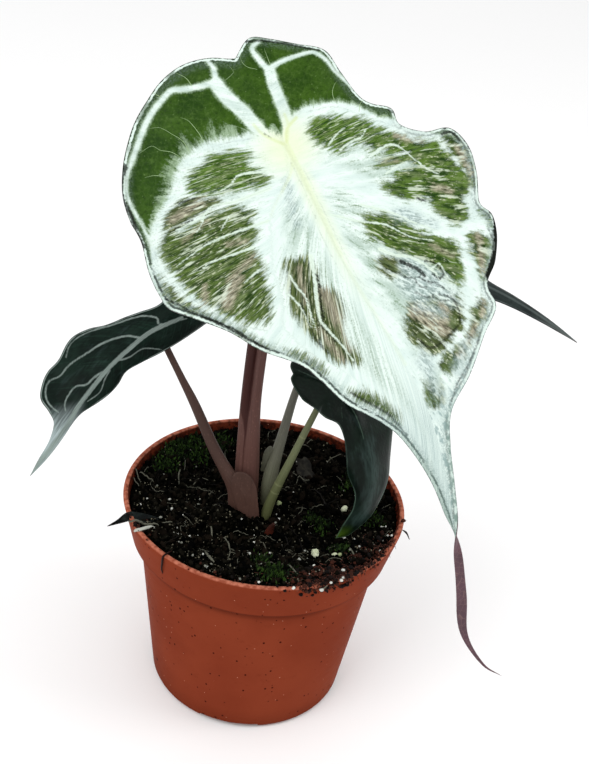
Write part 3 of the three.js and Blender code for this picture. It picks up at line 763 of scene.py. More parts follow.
def makePot(material):
    shoulder, soft = pot["shoulderHeight"], pot["shoulderRound"]
    base, lip = pot["baseRound"], pot["lipRound"]
    rim, wall = pot["rimRadius"], pot["rimWall"]
    inside = insideOfPot()
    profile = [(0, 0), *arc(pot["baseRadius"] - base, base, base, -90, 0, 7)]
    foot, neck = profile[-1], (pot["bodyTopRadius"], shoulder - soft)
    profile += [tuple(np.array(foot) + (np.array(neck) - foot) * k / 10) for k in range(1, 10)]
    profile += [neck, (neck[0] + 0.25, shoulder - 0.25), (neck[0] + soft, shoulder)]
    profile += arc(pot["shoulderRadius"] - soft, shoulder + soft, soft, -90, 0, 5)
    profile += [(pot["shoulderRadius"] + (rim - pot["shoulderRadius"]) * k / 5,
                 shoulder + soft + (pot["height"] - lip - shoulder - soft) * k / 5) for k in range(1, 5)]
    profile += arc(rim - lip, pot["height"] - lip, lip, 0, 90, 5)
    profile += arc(rim - wall + lip / 2, pot["height"] - lip / 2, lip / 2, 90, 180, 4)
    profile += inside[::-1][1:] + [(0, pot["floor"])]
    points, faces = spun(profile, pot["segments"])
    piece = addPiece("pot_shell", points, faces, [material])
    cutters = []
    for i in range(pot["holeCount"]):
        angle = math.radians(pot["notchStart"] + i * 360 / pot["holeCount"])
        at = (pot["holeCircle"] * math.cos(angle), pot["holeCircle"] * math.sin(angle))
        tall = pot["floor"] * 3
        hole, sides = spun([(0, -tall / 2), (pot["holeRadius"], -tall / 2),
                            (pot["holeRadius"], tall / 2), (0, tall / 2)], 24)
        cutters.append(([(x + at[0], y + at[1], z) for x, y, z in hole], sides))
    for i in range(pot["notchCount"]):
        angle = math.radians(pot["notchStart"] + i * 360 / pot["notchCount"])
        near = pot["holeCircle"] - pot["holeRadius"] * 2
        far, half, deep = near + pot["baseRadius"], pot["notchWidth"] / 2, pot["notchDepth"]
        corners = [(x, y, z) for z in (-deep, deep) for x, y in
                   ((near, -half), (far, -half), (far, half), (near, half))]
        turned = [(x * math.cos(angle) - y * math.sin(angle), x * math.sin(angle) + y * math.cos(angle), z)
                  for x, y, z in corners]
        box = [(3, 2, 1, 0), (4, 5, 6, 7), (0, 1, 5, 4), (1, 2, 6, 5), (2, 3, 7, 6), (3, 0, 4, 7)]
        cutters.append((turned, box))
    for somePoints, someFaces in cutters:
        tool = addPiece("cutter", somePoints, someFaces, [], smoothShade=False)
        cut = piece.modifiers.new("cut", "BOOLEAN")
        cut.operation = "DIFFERENCE"
        cut.solver = "EXACT"
        cut.object = tool
        mesh = modified(piece)
        piece.modifiers.remove(cut)
        piece.data = mesh
        bpy.data.objects.remove(tool)
    piece.data.name = "pot_shell"
    sharpen(piece, 32)
    return piece


def sharpen(piece, degrees):
    # smooth shading with sharp edges where faces meet at more than an angle
    shape = bmesh.new()
    shape.from_mesh(piece.data)
    for face in shape.faces:
        face.smooth = True
    for edge in shape.edges:
        if len(edge.link_faces) == 2:
            edge.smooth = edge.calc_face_angle() < math.radians(degrees)
    shape.to_mesh(piece.data)
    shape.free()


# Potting mix

soil = {
    "level": 88, "gap": 0.3, "rimClearance": 0.6,
    "edgeBank": (3, 30, 22), "frontBank": (3.2, 34, 18, 8, 40), "spillBank": (2, 38, 16, -58, 24),
    "mound": (5, 6.5, -13.5, -11.5), "lump": 0.7, "crumble": 1.3, "rings": 90, "segments": 260,
    "patchRadius": 57, "patchSteps": 115, "patchClearance": 0.4,
}


def soilHeight(x, y):
    radius, angle = np.hypot(x, y), np.degrees(np.arctan2(y, x))
    rise, start, reach = soil["edgeBank"]
    height = soil["level"] + rise * smooth((radius - start) / reach)
    rise, start, reach, begins, depth = soil["frontBank"]
    height = height + rise * smooth((radius - start) / reach) * smooth((-y - begins) / depth)
    rise, start, reach, middle, spread = soil["spillBank"]
    height = height + rise * smooth((radius - start) / reach) * np.exp(-((angle - middle) / spread) ** 2)
    rise, reach, midX, midY = soil["mound"]
    height = height + rise * np.exp(-(np.hypot(x - midX, y - midY) / reach) ** 2)
    coarse = np.sin(x * 0.31 + 1.3) * np.cos(y * 0.27 + 0.4)
    return height + soil["lump"] * (coarse + np.sin(x * 0.13 - y * 0.55) / 2)


def bandInside(height):
    (lowRadius, low), (highRadius, high) = insideOfPot()[-2:]
    return lowRadius + (highRadius - lowRadius) * (height - low) / (high - low)


def crumbled(x, y):
    # fine unevenness of the surface
    spot = Vector((x, y, 0))
    return (noise.noise(spot * 0.22) * 0.9 + noise.noise(spot * 0.6) * 0.6
            + noise.noise(spot * 1.5) * 0.45) * soil["crumble"]


def makeSoil(material):
    segments = soil["segments"]
    angles = np.arange(segments) * 2 * math.pi / segments
    profile = [(r - soil["gap"], z + soil["gap"]) for r, z in insideOfPot()[:-1]]
    points = [(0, 0, profile[0][1])]
    for radius, height in profile:
        points.extend([(radius * math.cos(a), radius * math.sin(a), height) for a in angles])
    outer = bandInside(soil["level"]) - soil["gap"]
    for i in range(soil["rings"]):
        share = 1 - (i / soil["rings"]) ** 1.1
        for a in angles:
            radius = outer * share
            x, y = radius * math.cos(a), radius * math.sin(a)
            height = soilTop(x, y)
            if i == 0:
                radius = bandInside(height) - soil["gap"]
                x, y = radius * math.cos(a), radius * math.sin(a)
            points.append((x, y, height))
    points.append((0, 0, float(soilHeight(0, 0))))
    faces = turnedFaces(len(profile) + soil["rings"], segments)
    return addPiece("potting_mix", points, faces, [material])


def soilTop(x, y):
    return min(float(soilHeight(x, y)) + crumbled(x, y), pot["height"] - soil["rimClearance"])


def soilPatch(cover):
    # a copy of the surface for the scatter tree, with how densely each place is covered
    outer, steps = soil["patchRadius"], soil["patchSteps"]
    axis = np.linspace(-outer, outer, steps)
    x, y = np.meshgrid(axis, axis, indexing="ij")
    height = np.minimum(soilHeight(x, y), pot["height"] - soil["rimClearance"])
    fine = np.array([crumbled(a, b) for a, b in zip(x.ravel(), y.ravel())]).reshape(x.shape)
    height = np.minimum(height + fine, pot["height"] - soil["patchClearance"])
    points = np.stack([x, y, height], -1).reshape(-1, 3)
    inside = np.hypot(x, y) < outer
    faces = [(i * steps + j, (i + 1) * steps + j, (i + 1) * steps + j + 1, i * steps + j + 1)
             for i in range(steps - 1) for j in range(steps - 1)
             if inside[i, j] and inside[i + 1, j] and inside[i, j + 1] and inside[i + 1, j + 1]]
    return addPiece("patch", points, faces, [], {"cover": cover(points[:, 0], points[:, 1])})


# Stalks: oval sections as (place, half width, half depth, depth of the sheath's channel)

stalkFoot = 80.0
sheathChannel = (-104, 34)

stalks = {
    "main_stalk": {
        "sections": [
            ((-6.8, 1.5, stalkFoot), 4.4, 3.6, 0), ((-8, 1, 92), 4.9, 3.7, 0.2),
            ((-8.8, 0, 106), 5.1, 3.7, 0.7), ((-9.6, -1, 122.4), 4.7, 3.6, 1.3),
            ((-10.3, -2, 142.6), 4.2, 3.5, 2.6), ((-9.9, -6, 168.3), 4.1, 3.4, 3),
            ((-8.9, -10, 201), 3.9, 3.3, 2.2), ((-7.6, -15, 235), 3.4, 3.2, 0.6)],
        "top": (3.7, 3.5), "blade": "main_blade", "rings": 220, "sides": 72,
        # the dark channel's edges: (height, from, to) in degrees round the stalk
        "channel": [(98, -7, -15), (106, -11, -7), (124, -13, -6), (128, -18, -3), (134, -35, 1),
                    (142, -78, 14), (155, -78, 12), (235, -70, 12)],
    },
    "left_stalk": {
        "sections": [
            ((-8.5, -6.2, stalkFoot), 5, 2.2, 0), ((-8.8, -6.4, 88), 5.6, 2.3, 0),
            ((-9.8, -6.6, 95), 5.6, 2.3, 0), ((-12.4, -6, 101.5), 4.3, 2.3, 0),
            ((-17.5, -4, 108), 2.9, 2.2, 0), ((-24.2, -0.5, 117.3), 2.4, 2.1, 0),
            ((-33.2, 4.5, 132.8), 2, 1.9, 0), ((-41, 10.5, 143), 1.5, 1.5, 0),
            ((-49.5, 16.5, 155), 1.4, 1.4, 0), ((-51, 14.5, 162.3), 1.4, 1.4, 0)],
        "top": (1.7, 1.7), "blade": "left_blade", "rings": 160, "sides": 40,
    },
    "front_stalk": {
        "sections": [
            ((1.6, -5.6, stalkFoot), 2.1, 2.1, 0), ((1.2, -5.8, 88), 2.2, 2.1, 0),
            ((3.4, -5, 99), 2, 2, 0), ((9.5, -2.5, 118.2), 1.6, 1.6, 0),
            ((14.2, 1.5, 131), 1.4, 1.4, 0), ((18.5, 6.5, 141), 1.3, 1.3, 0),
            ((21.2, 6, 147.2), 1.3, 1.3, 0)],
        "top": (1.5, 1.5), "blade": "front_blade", "rings": 140, "sides": 32,
    },
    "rear_stalk": {
        "sections": [
            ((1.4, 0.6, stalkFoot), 2.9, 2.6, 0), ((1.2, 1, 90), 3.2, 2.7, 0),
            ((1.2, 2, 103), 3.1, 2.6, 0), ((3.8, 7, 118.9), 2.2, 2.1, 0),
            ((7.9, 16, 139.9), 1.6, 1.6, 0), ((13.5, 22.5, 158), 1.4, 1.4, 0),
            ((22, 29, 178), 1.3, 1.3, 0), ((33, 34, 192), 1.3, 1.3, 0)],
        "top": (1.6, 1.6), "blade": "rear_blade", "rings": 160, "sides": 32,
    },
    "old_leaf_foot": {
        "sections": [
            ((2.6, -17.6, 81.3), 1.9, 1.6, 0), ((3, -17.6, 86), 1.9, 1.6, 0),
            ((3.8, -17.7, 90.5), 1.5, 1.2, 0), ((5, -18.1, 94), 0.7, 0.6, 0)],
        "top": None, "blade": None, "rings": 40, "sides": 28,
    },
}


def stalkSurface(stalk, form):
    sections = list(stalk["sections"])
    topFace = np.array([0, 0, 1.0])
    if form:
        centre, _, face = form.frameAt(np.array([0.0]))
        topFace = face[0]
        wide, deep = stalk["top"]
        sections.append((tuple(centre[0] - topFace * 0.6), wide, deep, 0))
    u = np.linspace(0, 1, stalk["rings"] + 1)
    path = [s[0] for s in sections]
    centre, direction = curveAt(path, u), tangentAt(path, u)
    wide, deep, channel = curveAt([s[1:] for s in sections], u).T
    side = unit(np.cross(np.array([0, 1.0, 0]), direction))
    back = np.cross(direction, side)
    degrees = np.arange(stalk["sides"]) * 360 / stalk["sides"]
    away = (degrees - sheathChannel[0] + 180) % 360 - 180
    bite = channel[:, None] * np.exp(-(away / sheathChannel[1]) ** 2)
    cos, sin = np.cos(np.radians(degrees)), np.sin(np.radians(degrees))
    rings = (centre[:, None] + side[:, None] * ((wide[:, None] - bite) * cos)[..., None]
             + back[:, None] * ((deep[:, None] - bite) * sin)[..., None])
    for i, plane in ((0, np.array([0, 0, 1.0])), (-1, topFace)):
        slide = ((centre[i] - rings[i]) @ plane) / (direction[i] @ plane)
        rings[i] += slide[:, None] * direction[i]
    # nothing reaches above the plane of the cut top
    steps = np.arange(len(rings))[::-1, None] * 0.01
    above = np.maximum((rings - centre[-1]) @ topFace + steps, 0)
    if form:
        rings[:-1] -= (above / (direction @ topFace)[:, None])[:-1, :, None] * direction[:-1, None]
    return rings, away


def loftRings(rings):
    count, sides = rings.shape[:2]
    points = rings.reshape(-1, 3).tolist()
    faces = [(i * sides + j, i * sides + (j + 1) % sides,
              (i + 1) * sides + (j + 1) % sides, (i + 1) * sides + j)
             for i in range(count - 1) for j in range(sides)]
    points += [rings[0].mean(0).tolist(), rings[-1].mean(0).tolist()]
    low, high = len(points) - 2, len(points) - 1
    start = (count - 1) * sides
    faces += [(low, (j + 1) % sides, j) for j in range(sides)]
    faces += [(high, start + j, start + (j + 1) % sides) for j in range(sides)]
    return points, faces


def ringFields(rings, away, stalk):
    # height, angle from the channel's middle, and how far inside the dark channel's edges
    count, sides = rings.shape[:2]
    climb = np.repeat(rings[:, :, 2].mean(1), sides)
    around = np.tile(away, count)
    ends = rings[[0, -1]].mean(1)[:, 2]
    dark = np.array(stalk.get("channel", [(0, 0, -120)]), float)
    start, end = (np.interp(climb, dark[:, 0], dark[:, k]) for k in (1, 2))
    channel = np.minimum(around - start, end - around)
    return {"climb": np.concatenate([climb, ends]), "around": np.concatenate([around, [0, 0]]),
            "channel": np.concatenate([channel, [-60, -60]])}


def flake(outline, thickness, bulge):
    # a thin closed sheet inside an outline, domed along its own normal
    count = len(outline)
    wrapped = outline[-1:] + outline + outline[:2]
    rim = curveAt(wrapped, np.linspace(1, count + 1, 6 * count + 1)[:-1] / (count + 2))
    centre = rim.mean(0)
    spokes = rim - centre
    normal = unit(np.cross(spokes, np.roll(spokes, -1, 0)).sum(0))
    sides = len(rim)
    points = []
    shares = (1, 0.94, 0.8, 0.6, 0.35)
    for way in (1, -1):
        for share in shares:
            half = thickness / 2 * (0.4 + 0.6 * math.sqrt(1 - share ** 2))
            rise = bulge * (1 - share ** 2) + way * half
            points.append(centre + spokes * share + normal * rise)
    points = np.concatenate(points + [[centre + normal * (bulge + thickness / 2),
                                       centre + normal * (bulge - thickness / 2)]])
    faces = []
    under = len(shares) * sides
    for j in range(sides):
        k = (j + 1) % sides
        for i in range(len(shares) - 1):
            a, b = i * sides, (i + 1) * sides
            faces.append((a + j, a + k, b + k, b + j))
            faces.append((under + a + k, under + a + j, under + b + j, under + b + k))
        last = (len(shares) - 1) * sides
        faces.append((last + j, last + k, 2 * under))
        faces.append((under + last + k, under + last + j, 2 * under + 1))
        faces.append((under + j, under + k, k, j))
    return points, faces


def noiseAt(points, scale):
    return np.array([noise.noise(Vector(p) * scale) * 0.8 + 0.5 for p in points])


# Wings of the sheaths that stand free at the stalks' feet, as outlines in space
sheathFlaps = {
    "left_sheath_wing": {
        "outline": [
            (-14.4, -8.4, 106.6), (-13.8, -7.4, 109.1), (-11.4, -6.6, 109.9), (-8.4, -6.4, 109),
            (-5.7, -6.8, 106.5), (-3.8, -7.6, 102.5), (-2.6, -8.6, 96.5), (-1.6, -9.2, 91.2),
            (-1.9, -9.4, 87.5), (-4.5, -9.4, 87), (-8, -9.4, 89), (-10.7, -9.4, 92), (-12.5, -9.4, 97),
            (-14, -9, 102)],
        "thickness": 0.7, "bulge": 0.5, "stalk": "left_stalk"},
    "rear_sheath_wing": {
        "outline": [
            (-2.9, 4, 104), (-2.9, 4, 108.2), (-2.9, 4, 112.3), (-2, 4, 115.5), (-0.4, 4.4, 117),
            (0.9, 4.6, 115.9), (1.4, 4.6, 111.3), (1.2, 4, 106)],
        "thickness": 0.5, "bulge": 0.3, "stalk": "rear_stalk"}}


# What lies on the potting mix

# where the stalks come up, kept bare, and where moss grows: (x, y, radius)
stalkFeet = [(-8, 1, 4.2), (-9.6, -6.4, 4.4), (1.2, 1, 2.8), (1.3, -5.8, 1.8), (3, -17.6, 1.4)]
mossPlaces = [
    (-42, 30, 6), (-36, 35, 6), (-33, 28, 4), (-45, 17, 4), (-24, 40, 4), (26, -9.5, 3.4),
    (21.6, -5.4, 2.6), (33, -26, 3), (7.6, -50, 4.5), (1, -37, 2.4), (40, 22, 5), (46, -4, 4)]

# grains seen one by one: (x, y, z, size), with z None for the surface
perliteGrains = [
    (-29, 34.5, None, 2.1), (-42.9, -11.5, None, 1.2), (-32, -18, None, 1.4), (-20.5, -16.4, None, 1.5),
    (-34, -30.4, None, 1.1), (-28.9, -27.5, None, 1.4), (-14.4, -35.8, None, 1.5), (-2.1, -26.3, None, 1.3),
    (-3.4, -16.7, None, 0.9), (-1.6, -20.7, None, 0.9), (0.8, -32, None, 0.9), (1.6, -56, None, 1.2),
    (20.5, -14, None, 1.2), (34.8, -16.8, None, 1.5), (52, -8, None, 1.6), (50.5, -9, None, 1.2),
    (34.2, -44, 95.2, 1.6), (15.2, -58, 95.2, 1.5), (26, -57.6, 95.4, 1.5), (34.3, -48.5, 95.2, 1.3),
    (29.5, -52.8, 95.6, 1.3), (33.5, -50.6, 95.5, 1.4), (12.1, 11.4, None, 1.1), (9, -24.4, None, 0.9),
    (12.8, -26.9, None, 1.0), (6, -3.5, None, 1.3), (6.8, -7.4, None, 1.4), (-51.2, -14.6, None, 1.1),
    (54, -18, 95, 1.1), (-24, -12, None, 0.8), (16, -40, None, 1.0), (-8, -42, None, 0.9)]
pellets = [
    (22.8, -31.5, 92.5, 3.4), (23.2, -33, 92.3, 2.4), (30.6, -33.9, 93.4, 3.4), (32.6, -33.2, 93.5, 2.8),
    (6.4, 4.1, None, 3.2), (34.7, 3.9, None, 3.4)]

# crumbs that lie over the rim: middle and spread of their angle, nearest and farthest radius
spills = [
    {"count": 300, "middle": -61, "spread": 6.5, "from": 49, "to": 60.4, "largest": 2.4, "wall": 0.16},
    {"count": 90, "middle": -44, "spread": 5, "from": 50, "to": 60, "largest": 2.0, "wall": 0.03},
    {"count": 90, "middle": -28, "spread": 8, "from": 48, "to": 60.2, "largest": 2.2, "wall": 0.02},
    {"count": 60, "middle": -94, "spread": 9, "from": 53, "to": 58.5, "largest": 1.6, "wall": 0.0},
    {"count": 50, "middle": -150, "spread": 6, "from": 52, "to": 60, "largest": 1.8, "wall": 0.0},
]

# roots seen one by one: (half thickness, places as x, y and height above the potting mix)
rootPlaces = {
    "pale_roots": [
        (0.32, [(-38.3, 18.3, 0.6), (-38.6, 13, 1.6), (-37.7, 8.2, 0.2)]),
        (0.2, [(-36.3, 17.1, 0.4), (-35.6, 15, 0.9), (-34.9, 13.6, 0.1)]),
        (0.3, [(-31.8, 8.4, 0.1), (-29.2, 12.7, 1.2), (-25.6, 13.5, 0.5)]),
        (0.34, [(-22, -18.3, 0.4), (-20.4, -21.9, 1.4), (-19.6, -27, 1.5), (-19.1, -32.1, 0.2)]),
        (0.32, [(-17.1, -23, 0.6), (-13.6, -26.9, 1.6), (-11.3, -35.1, 1.2), (-12, -46.3, 0.1)]),
        (0.6, [(-21.2, -41, 0.8), (-18.2, -46, 0.9), (-16.6, -48, 0.4)]),
        (0.25, [(-57.4, 9.8, 3.6), (-55.2, 4.9, 1.6), (-52.3, 0, 0.3)]),
        (0.28, [(-54.8, 6.4, 1.6), (-51.4, 5.6, 1.4), (-47.9, 4.6, 0.1)]),
        (0.25, [(-57, 3.4, 2.6), (-54, -0.4, 0.8)]),
        (0.5, [(-53.4, -31, 4.0), (-49.6, -29.4, 3.0), (-45.5, -27.8, 1.2), (-41.5, -27.6, 0.5)]),
        (0.28, [(-42.3, -26.5, 0.8), (-37.8, -22.9, 1.0), (-33.5, -17.7, 0.2)]),
        (0.3, [(7.2, -37.3, 0.6), (13.7, -46, 1.2), (18.8, -52.5, 0.4)]),
        (0.32, [(6.1, 15.1, 0.4), (10.6, 15.6, 0.9), (14.9, 15, 0.3)]),
        (0.3, [(9.8, 28.4, 0.3), (16.8, 22.1, 1.2), (19.6, 21.6, 0.2)]),
        (0.4, [(36, -26.7, 1.2), (39.2, -34.9, 0.5)]),
        (0.3, [(26, -57.8, 1.6), (28.2, -54.5, 1.4)]),
    ],
    "dark_roots": [
        (0.28, [(16.4, 18.3, 0.3), (23.9, 12.3, 1.6), (27.3, 3.8, 1.4), (31.3, -6, 0.2)]),
        (0.3, [(14.9, -17.6, 0.4), (17.5, -25, 1.4), (19, -32.7, 0.3)]),
        (0.3, [(5, -14, 0.3), (11, -21, 1.2), (12, -30, 0.4)]),
    ],
}
paleStrip = {
    "half": 0.75,
    "path": [
        (-43, -30.4, 94.4), (-44.8, -31.6, 95.3), (-47.9, -33.7, 95.3), (-49.9, -33.6, 94.5),
        (-50.6, -32.6, 93)]}
rimRoot = {
    "half": 0.42,
    "path": [
        (-33.5, -43, 94.3), (-35.6, -46.4, 95.1), (-36.9, -47.6, 94.2), (-37.2, -46.8, 90),
        (-37.4, -45.3, 86), (-37, -43.6, 82.4)]}
strayRoots = {"pale": 60, "dark": 90, "length": (4, 15), "half": (0.08, 0.17), "within": 56,
              "seed": 11}
# fibres among the spilled crumbs, so many for each of the first spills
spillFibres = {"counts": (150, 40, 40), "length": (3, 8), "half": (0.09, 0.2), "lift": (0.2, 1.1),
               "step": 0.8, "pastRim": 1.6, "seed": 14}

# thin scraps of old leaf, as outlines in space
scraps = {
    "dark_scrap": {
        "outline": [
            (-62, -31, 92.6), (-58.6, -28.8, 94.6), (-54.9, -24, 95.6), (-49, -22.6, 94.8),
            (-42, -22, 92.6), (-46.4, -26.2, 93.4), (-51.5, -28.2, 95), (-57, -29.9, 94.6)],
        "thickness": 0.3, "bulge": 0.4, "dark": (8, 12, 12), "light": (30, 38, 36)},
    "grey_scrap": {
        "outline": [
            (12, 35, 91.2), (14.5, 34, 92), (15.9, 36, 92), (18.8, 33, 91), (19.4, 29, 90.2),
            (21.1, 26.4, 89.2), (20, 22, 89), (17.6, 20, 88.6), (15.2, 23, 88.8), (12.6, 28, 89.6)],
        "thickness": 0.3, "bulge": 0.2, "dark": (16, 15, 12), "light": (46, 44, 37)},
    "brown_chip": {
        "outline": [
            (58.6, -13, 94.8), (59.8, -14.6, 95.4), (61.6, -16.6, 93.4), (62, -14.6, 91.8),
            (60.6, -12.6, 93.6)],
        "thickness": 0.5, "bulge": 0.2, "dark": (14, 10, 9), "light": (34, 24, 20)}}


def lumps(name, places, flat, seed, material):
    # lumps of their own shape and turn
    rng = random.Random(seed)
    template = bmesh.new()
    bmesh.ops.create_icosphere(template, subdivisions=2, radius=0.5)
    corners = [v.co.copy() for v in template.verts]
    sides = [tuple(v.index for v in face.verts) for face in template.faces]
    template.free()
    parts = []
    for x, y, z, size in places:
        turn = Matrix.Rotation(rng.uniform(0, 6.28), 3, "Z")
        turn = turn @ Matrix.Rotation(rng.uniform(-0.6, 0.6), 3, "X")
        shift = Vector((rng.uniform(0, 90), rng.uniform(0, 90), 0))
        wide = rng.uniform(0.7, 1.2)
        middle = Vector((x, y, z if z is not None else soilTop(x, y) + size * 0.3))
        shape = []
        for corner in corners:
            swell = size * (1 + 0.5 * noise.noise(corner * 3 + shift))
            shape.append(middle + turn @ Vector((corner.x * wide, corner.y, corner.z * flat)) * swell)
        parts.append((np.array(shape), sides, {"tint": np.full(len(corners), rng.random())}))
    points, faces, fields = joined(parts)
    return addPiece(name, points, faces, [material], fields)


def wallRadius(z):
    narrow, wide, low = pot["shoulderRadius"], pot["rimRadius"], pot["shoulderHeight"]
    return narrow + (wide - narrow) * (z - low) / (pot["height"] - low)


def spilled():
    rng = random.Random(5)
    places = []
    for spill in spills:
        for _ in range(spill["count"]):
            angle = math.radians(rng.gauss(spill["middle"], spill["spread"]))
            size = 0.5 + (spill["largest"] - 0.5) * rng.random() ** 2
            if rng.random() < spill["wall"]:
                z = pot["height"] - 0.5 - 5 * rng.random() ** 2
                radius = wallRadius(z) + size * 0.2
            else:
                radius = spill["to"] - (spill["to"] - spill["from"]) * rng.random() ** 1.3
                radius = min(radius, spill["to"] - size * 0.3)
                x, y = radius * math.cos(angle), radius * math.sin(angle)
                onRim = radius > pot["rimRadius"] - pot["rimWall"]
                z = (pot["height"] if onRim else soilTop(x, y)) + size * 0.25 + 0.9 * rng.random() ** 2
            places.append((radius * math.cos(angle), radius * math.sin(angle), z, size))
    return places


def overSoil(path, steps=8):
    # a path given by its height above the potting mix
    fine = finePath(path, steps)
    return np.array([(x, y, soilTop(x, y) + lift) for x, y, lift in fine])


def strayPaths(count, rng):
    paths = []
    while len(paths) < count:
        radius, angle = strayRoots["within"] * math.sqrt(rng.random()), rng.uniform(0, 6.28)
        x, y = radius * math.cos(angle), radius * math.sin(angle)
        heading, bend = rng.uniform(0, 6.28), rng.uniform(-0.22, 0.22)
        length, half = rng.uniform(*strayRoots["length"]), rng.uniform(*strayRoots["half"])
        path = []
        for step in range(int(length) + 1):
            share = step / length
            path.append((x, y, 0.1 + 1.5 * math.sin(math.pi * min(share, 1))))
            x, y = x + math.cos(heading), y + math.sin(heading)
            heading += bend + rng.uniform(-0.12, 0.12)
        clear = all(math.hypot(px - a, py - b) > r + 0.5 for px, py, _ in path for a, b, r in stalkFeet)
        if clear and all(math.hypot(px, py) < strayRoots["within"] + 0.5 for px, py, _ in path):
            placed = overSoil(path, 3)
            paths.append((placed, half * tapered(len(placed))))
    return paths


def fibrePaths():
    # bent fibres that lie on the potting mix and the rim, and reach a little past it
    rng = random.Random(spillFibres["seed"])
    rim, stride = pot["rimRadius"], spillFibres["step"]
    paths = []
    for count, spill in zip(spillFibres["counts"], spills):
        for _ in range(count):
            angle = math.radians(rng.gauss(spill["middle"], spill["spread"]))
            radius = rng.uniform(spill["from"] + 1, rim)
            x, y = radius * math.cos(angle), radius * math.sin(angle)
            heading, bend = rng.uniform(0, 6.28), rng.uniform(-0.35, 0.35)
            length, half = rng.uniform(*spillFibres["length"]), rng.uniform(*spillFibres["half"])
            lift = rng.uniform(*spillFibres["lift"])
            path = []
            for _ in range(int(length / stride) + 2):
                radius = math.hypot(x, y)
                if radius > rim + spillFibres["pastRim"]:
                    break
                onRim = radius > rim - pot["rimWall"] - 0.6
                ground = pot["height"] - 1.6 * max(0, radius - rim) if onRim else soilTop(x, y)
                path.append((x, y, ground + lift))
                x, y = x + stride * math.cos(heading), y + stride * math.sin(heading)
                heading += bend + rng.uniform(-0.3, 0.3)
            if len(path) > 3:
                placed = finePath(path, 2)
                paths.append((placed, half * tapered(len(placed))))
    return paths


def tapered(count):
    return 0.35 + 0.65 * np.sin(np.pi * np.linspace(0.12, 0.93, count))


def rootSets():
    rng = random.Random(strayRoots["seed"])
    looks = {"pale_roots": grainFinish("pale roots", (92, 92, 80), (170, 172, 156), 0.6),
             "dark_roots": grainFinish("dark roots", (14, 11, 8), (66, 56, 42), 0.6)}
    sets = []
    for name, given in rootPlaces.items():
        paths = [(overSoil(path), half * tapered((len(path) - 1) * 8 + 1)) for half, path in given]
        paths += strayPaths(strayRoots[name.split("_")[0]], rng)
        sets.append((name, looks[name], paths))
    over = finePath(paleStrip["path"], 8)
    sets.append(("pale_strip", grainFinish("pale strip", (176, 178, 168), (206, 208, 200), 0.6),
                 [(over, paleStrip["half"] * tapered(len(over)))]))
    over = finePath(rimRoot["path"], 8)
    sets.append(("rim_root", grainFinish("rim root", (30, 10, 7), (52, 20, 12), 0.6),
                 [(over, rimRoot["half"] * tapered(len(over)))]))
    sets.append(("spilled_fibres",
                 grainFinish("spilled fibres", (30, 13, 10), (30, 13, 10), 0.7, spots=(150, 92, 74)),
                 fibrePaths()))
    return sets


# Large leaf's markings, in millimetres along and across its flattened blade.
# A band is (half width at its start, at its end, how far its edge feathers, the points it runs through).

frostBands = {
    "midrib": (1.7, 0.9, 0.6, [(0, 0), (40, 0), (90, 0), (149, 0)]),
    "backLeft": (2.4, 2.2, 0.5, [(0, 0), (-7, -5), (-17, -7), (-25, -10), (-29, -11)]),
    "backLeftTip": (1.0, 0.5, 0.4, [(-29, -11), (-34, -10), (-37, -11)]),
    "backLeftLoop": (0.85, 0.3, 0.3, [
        (-30, -11), (-30, -15), (-31, -22), (-32, -26), (-30, -31), (-27, -37), (-24, -42), (-21, -47),
        (-18, -52), (-14, -55), (-7, -56), (4, -56), (12, -57), (19, -57)]),
    "backRight": (2.0, 1.8, 0.45, [(0, 0), (-6, 4), (-14, 6), (-22, 7), (-27, 8)]),
    "backRightTip": (1.0, 0.6, 0.4, [(-27, 8), (-32, 6), (-37, 5), (-39, 8)]),
    "backRightLoop": (0.9, 0.35, 0.3, [
        (-28, 9), (-29, 14), (-29, 20), (-28, 25), (-22, 28), (-16, 29), (-10, 31), (-4, 33)]),
    "rightArch": (1.7, 1.4, 1.1, [
        (0, 0), (-6, 6), (-7, 12), (-6, 17), (-4, 23), (0, 29), (5, 33), (9, 39), (13, 43), (16, 49),
        (22, 52), (27, 55), (33, 57), (40, 55), (54, 50)]),
    "leftArch": (1.8, 1.6, 3.2, [
        (0, 0), (-5, -3), (-8, -9), (-10, -15), (-12, -21), (-13, -26), (-12, -32), (-8, -38), (-4, -42),
        (1, -47), (5, -52), (11, -55), (18, -57), (23, -56), (31, -53), (38, -49), (44, -45), (49, -39),
        (52, -34), (53, -29)])}

# The white part lies inside this loop, which passes the margin below the lobes
leftArch, rightArch = frostBands["leftArch"][3], frostBands["rightArch"][3]
whiteLoop = leftArch[:11] + [
    (11, -56), (17, -59), (22, -66), (110, -66), (230, -20), (230, 20), (110, 66), (24, 66),
    (18, 57), (16, 50)] + rightArch[8:0:-1]

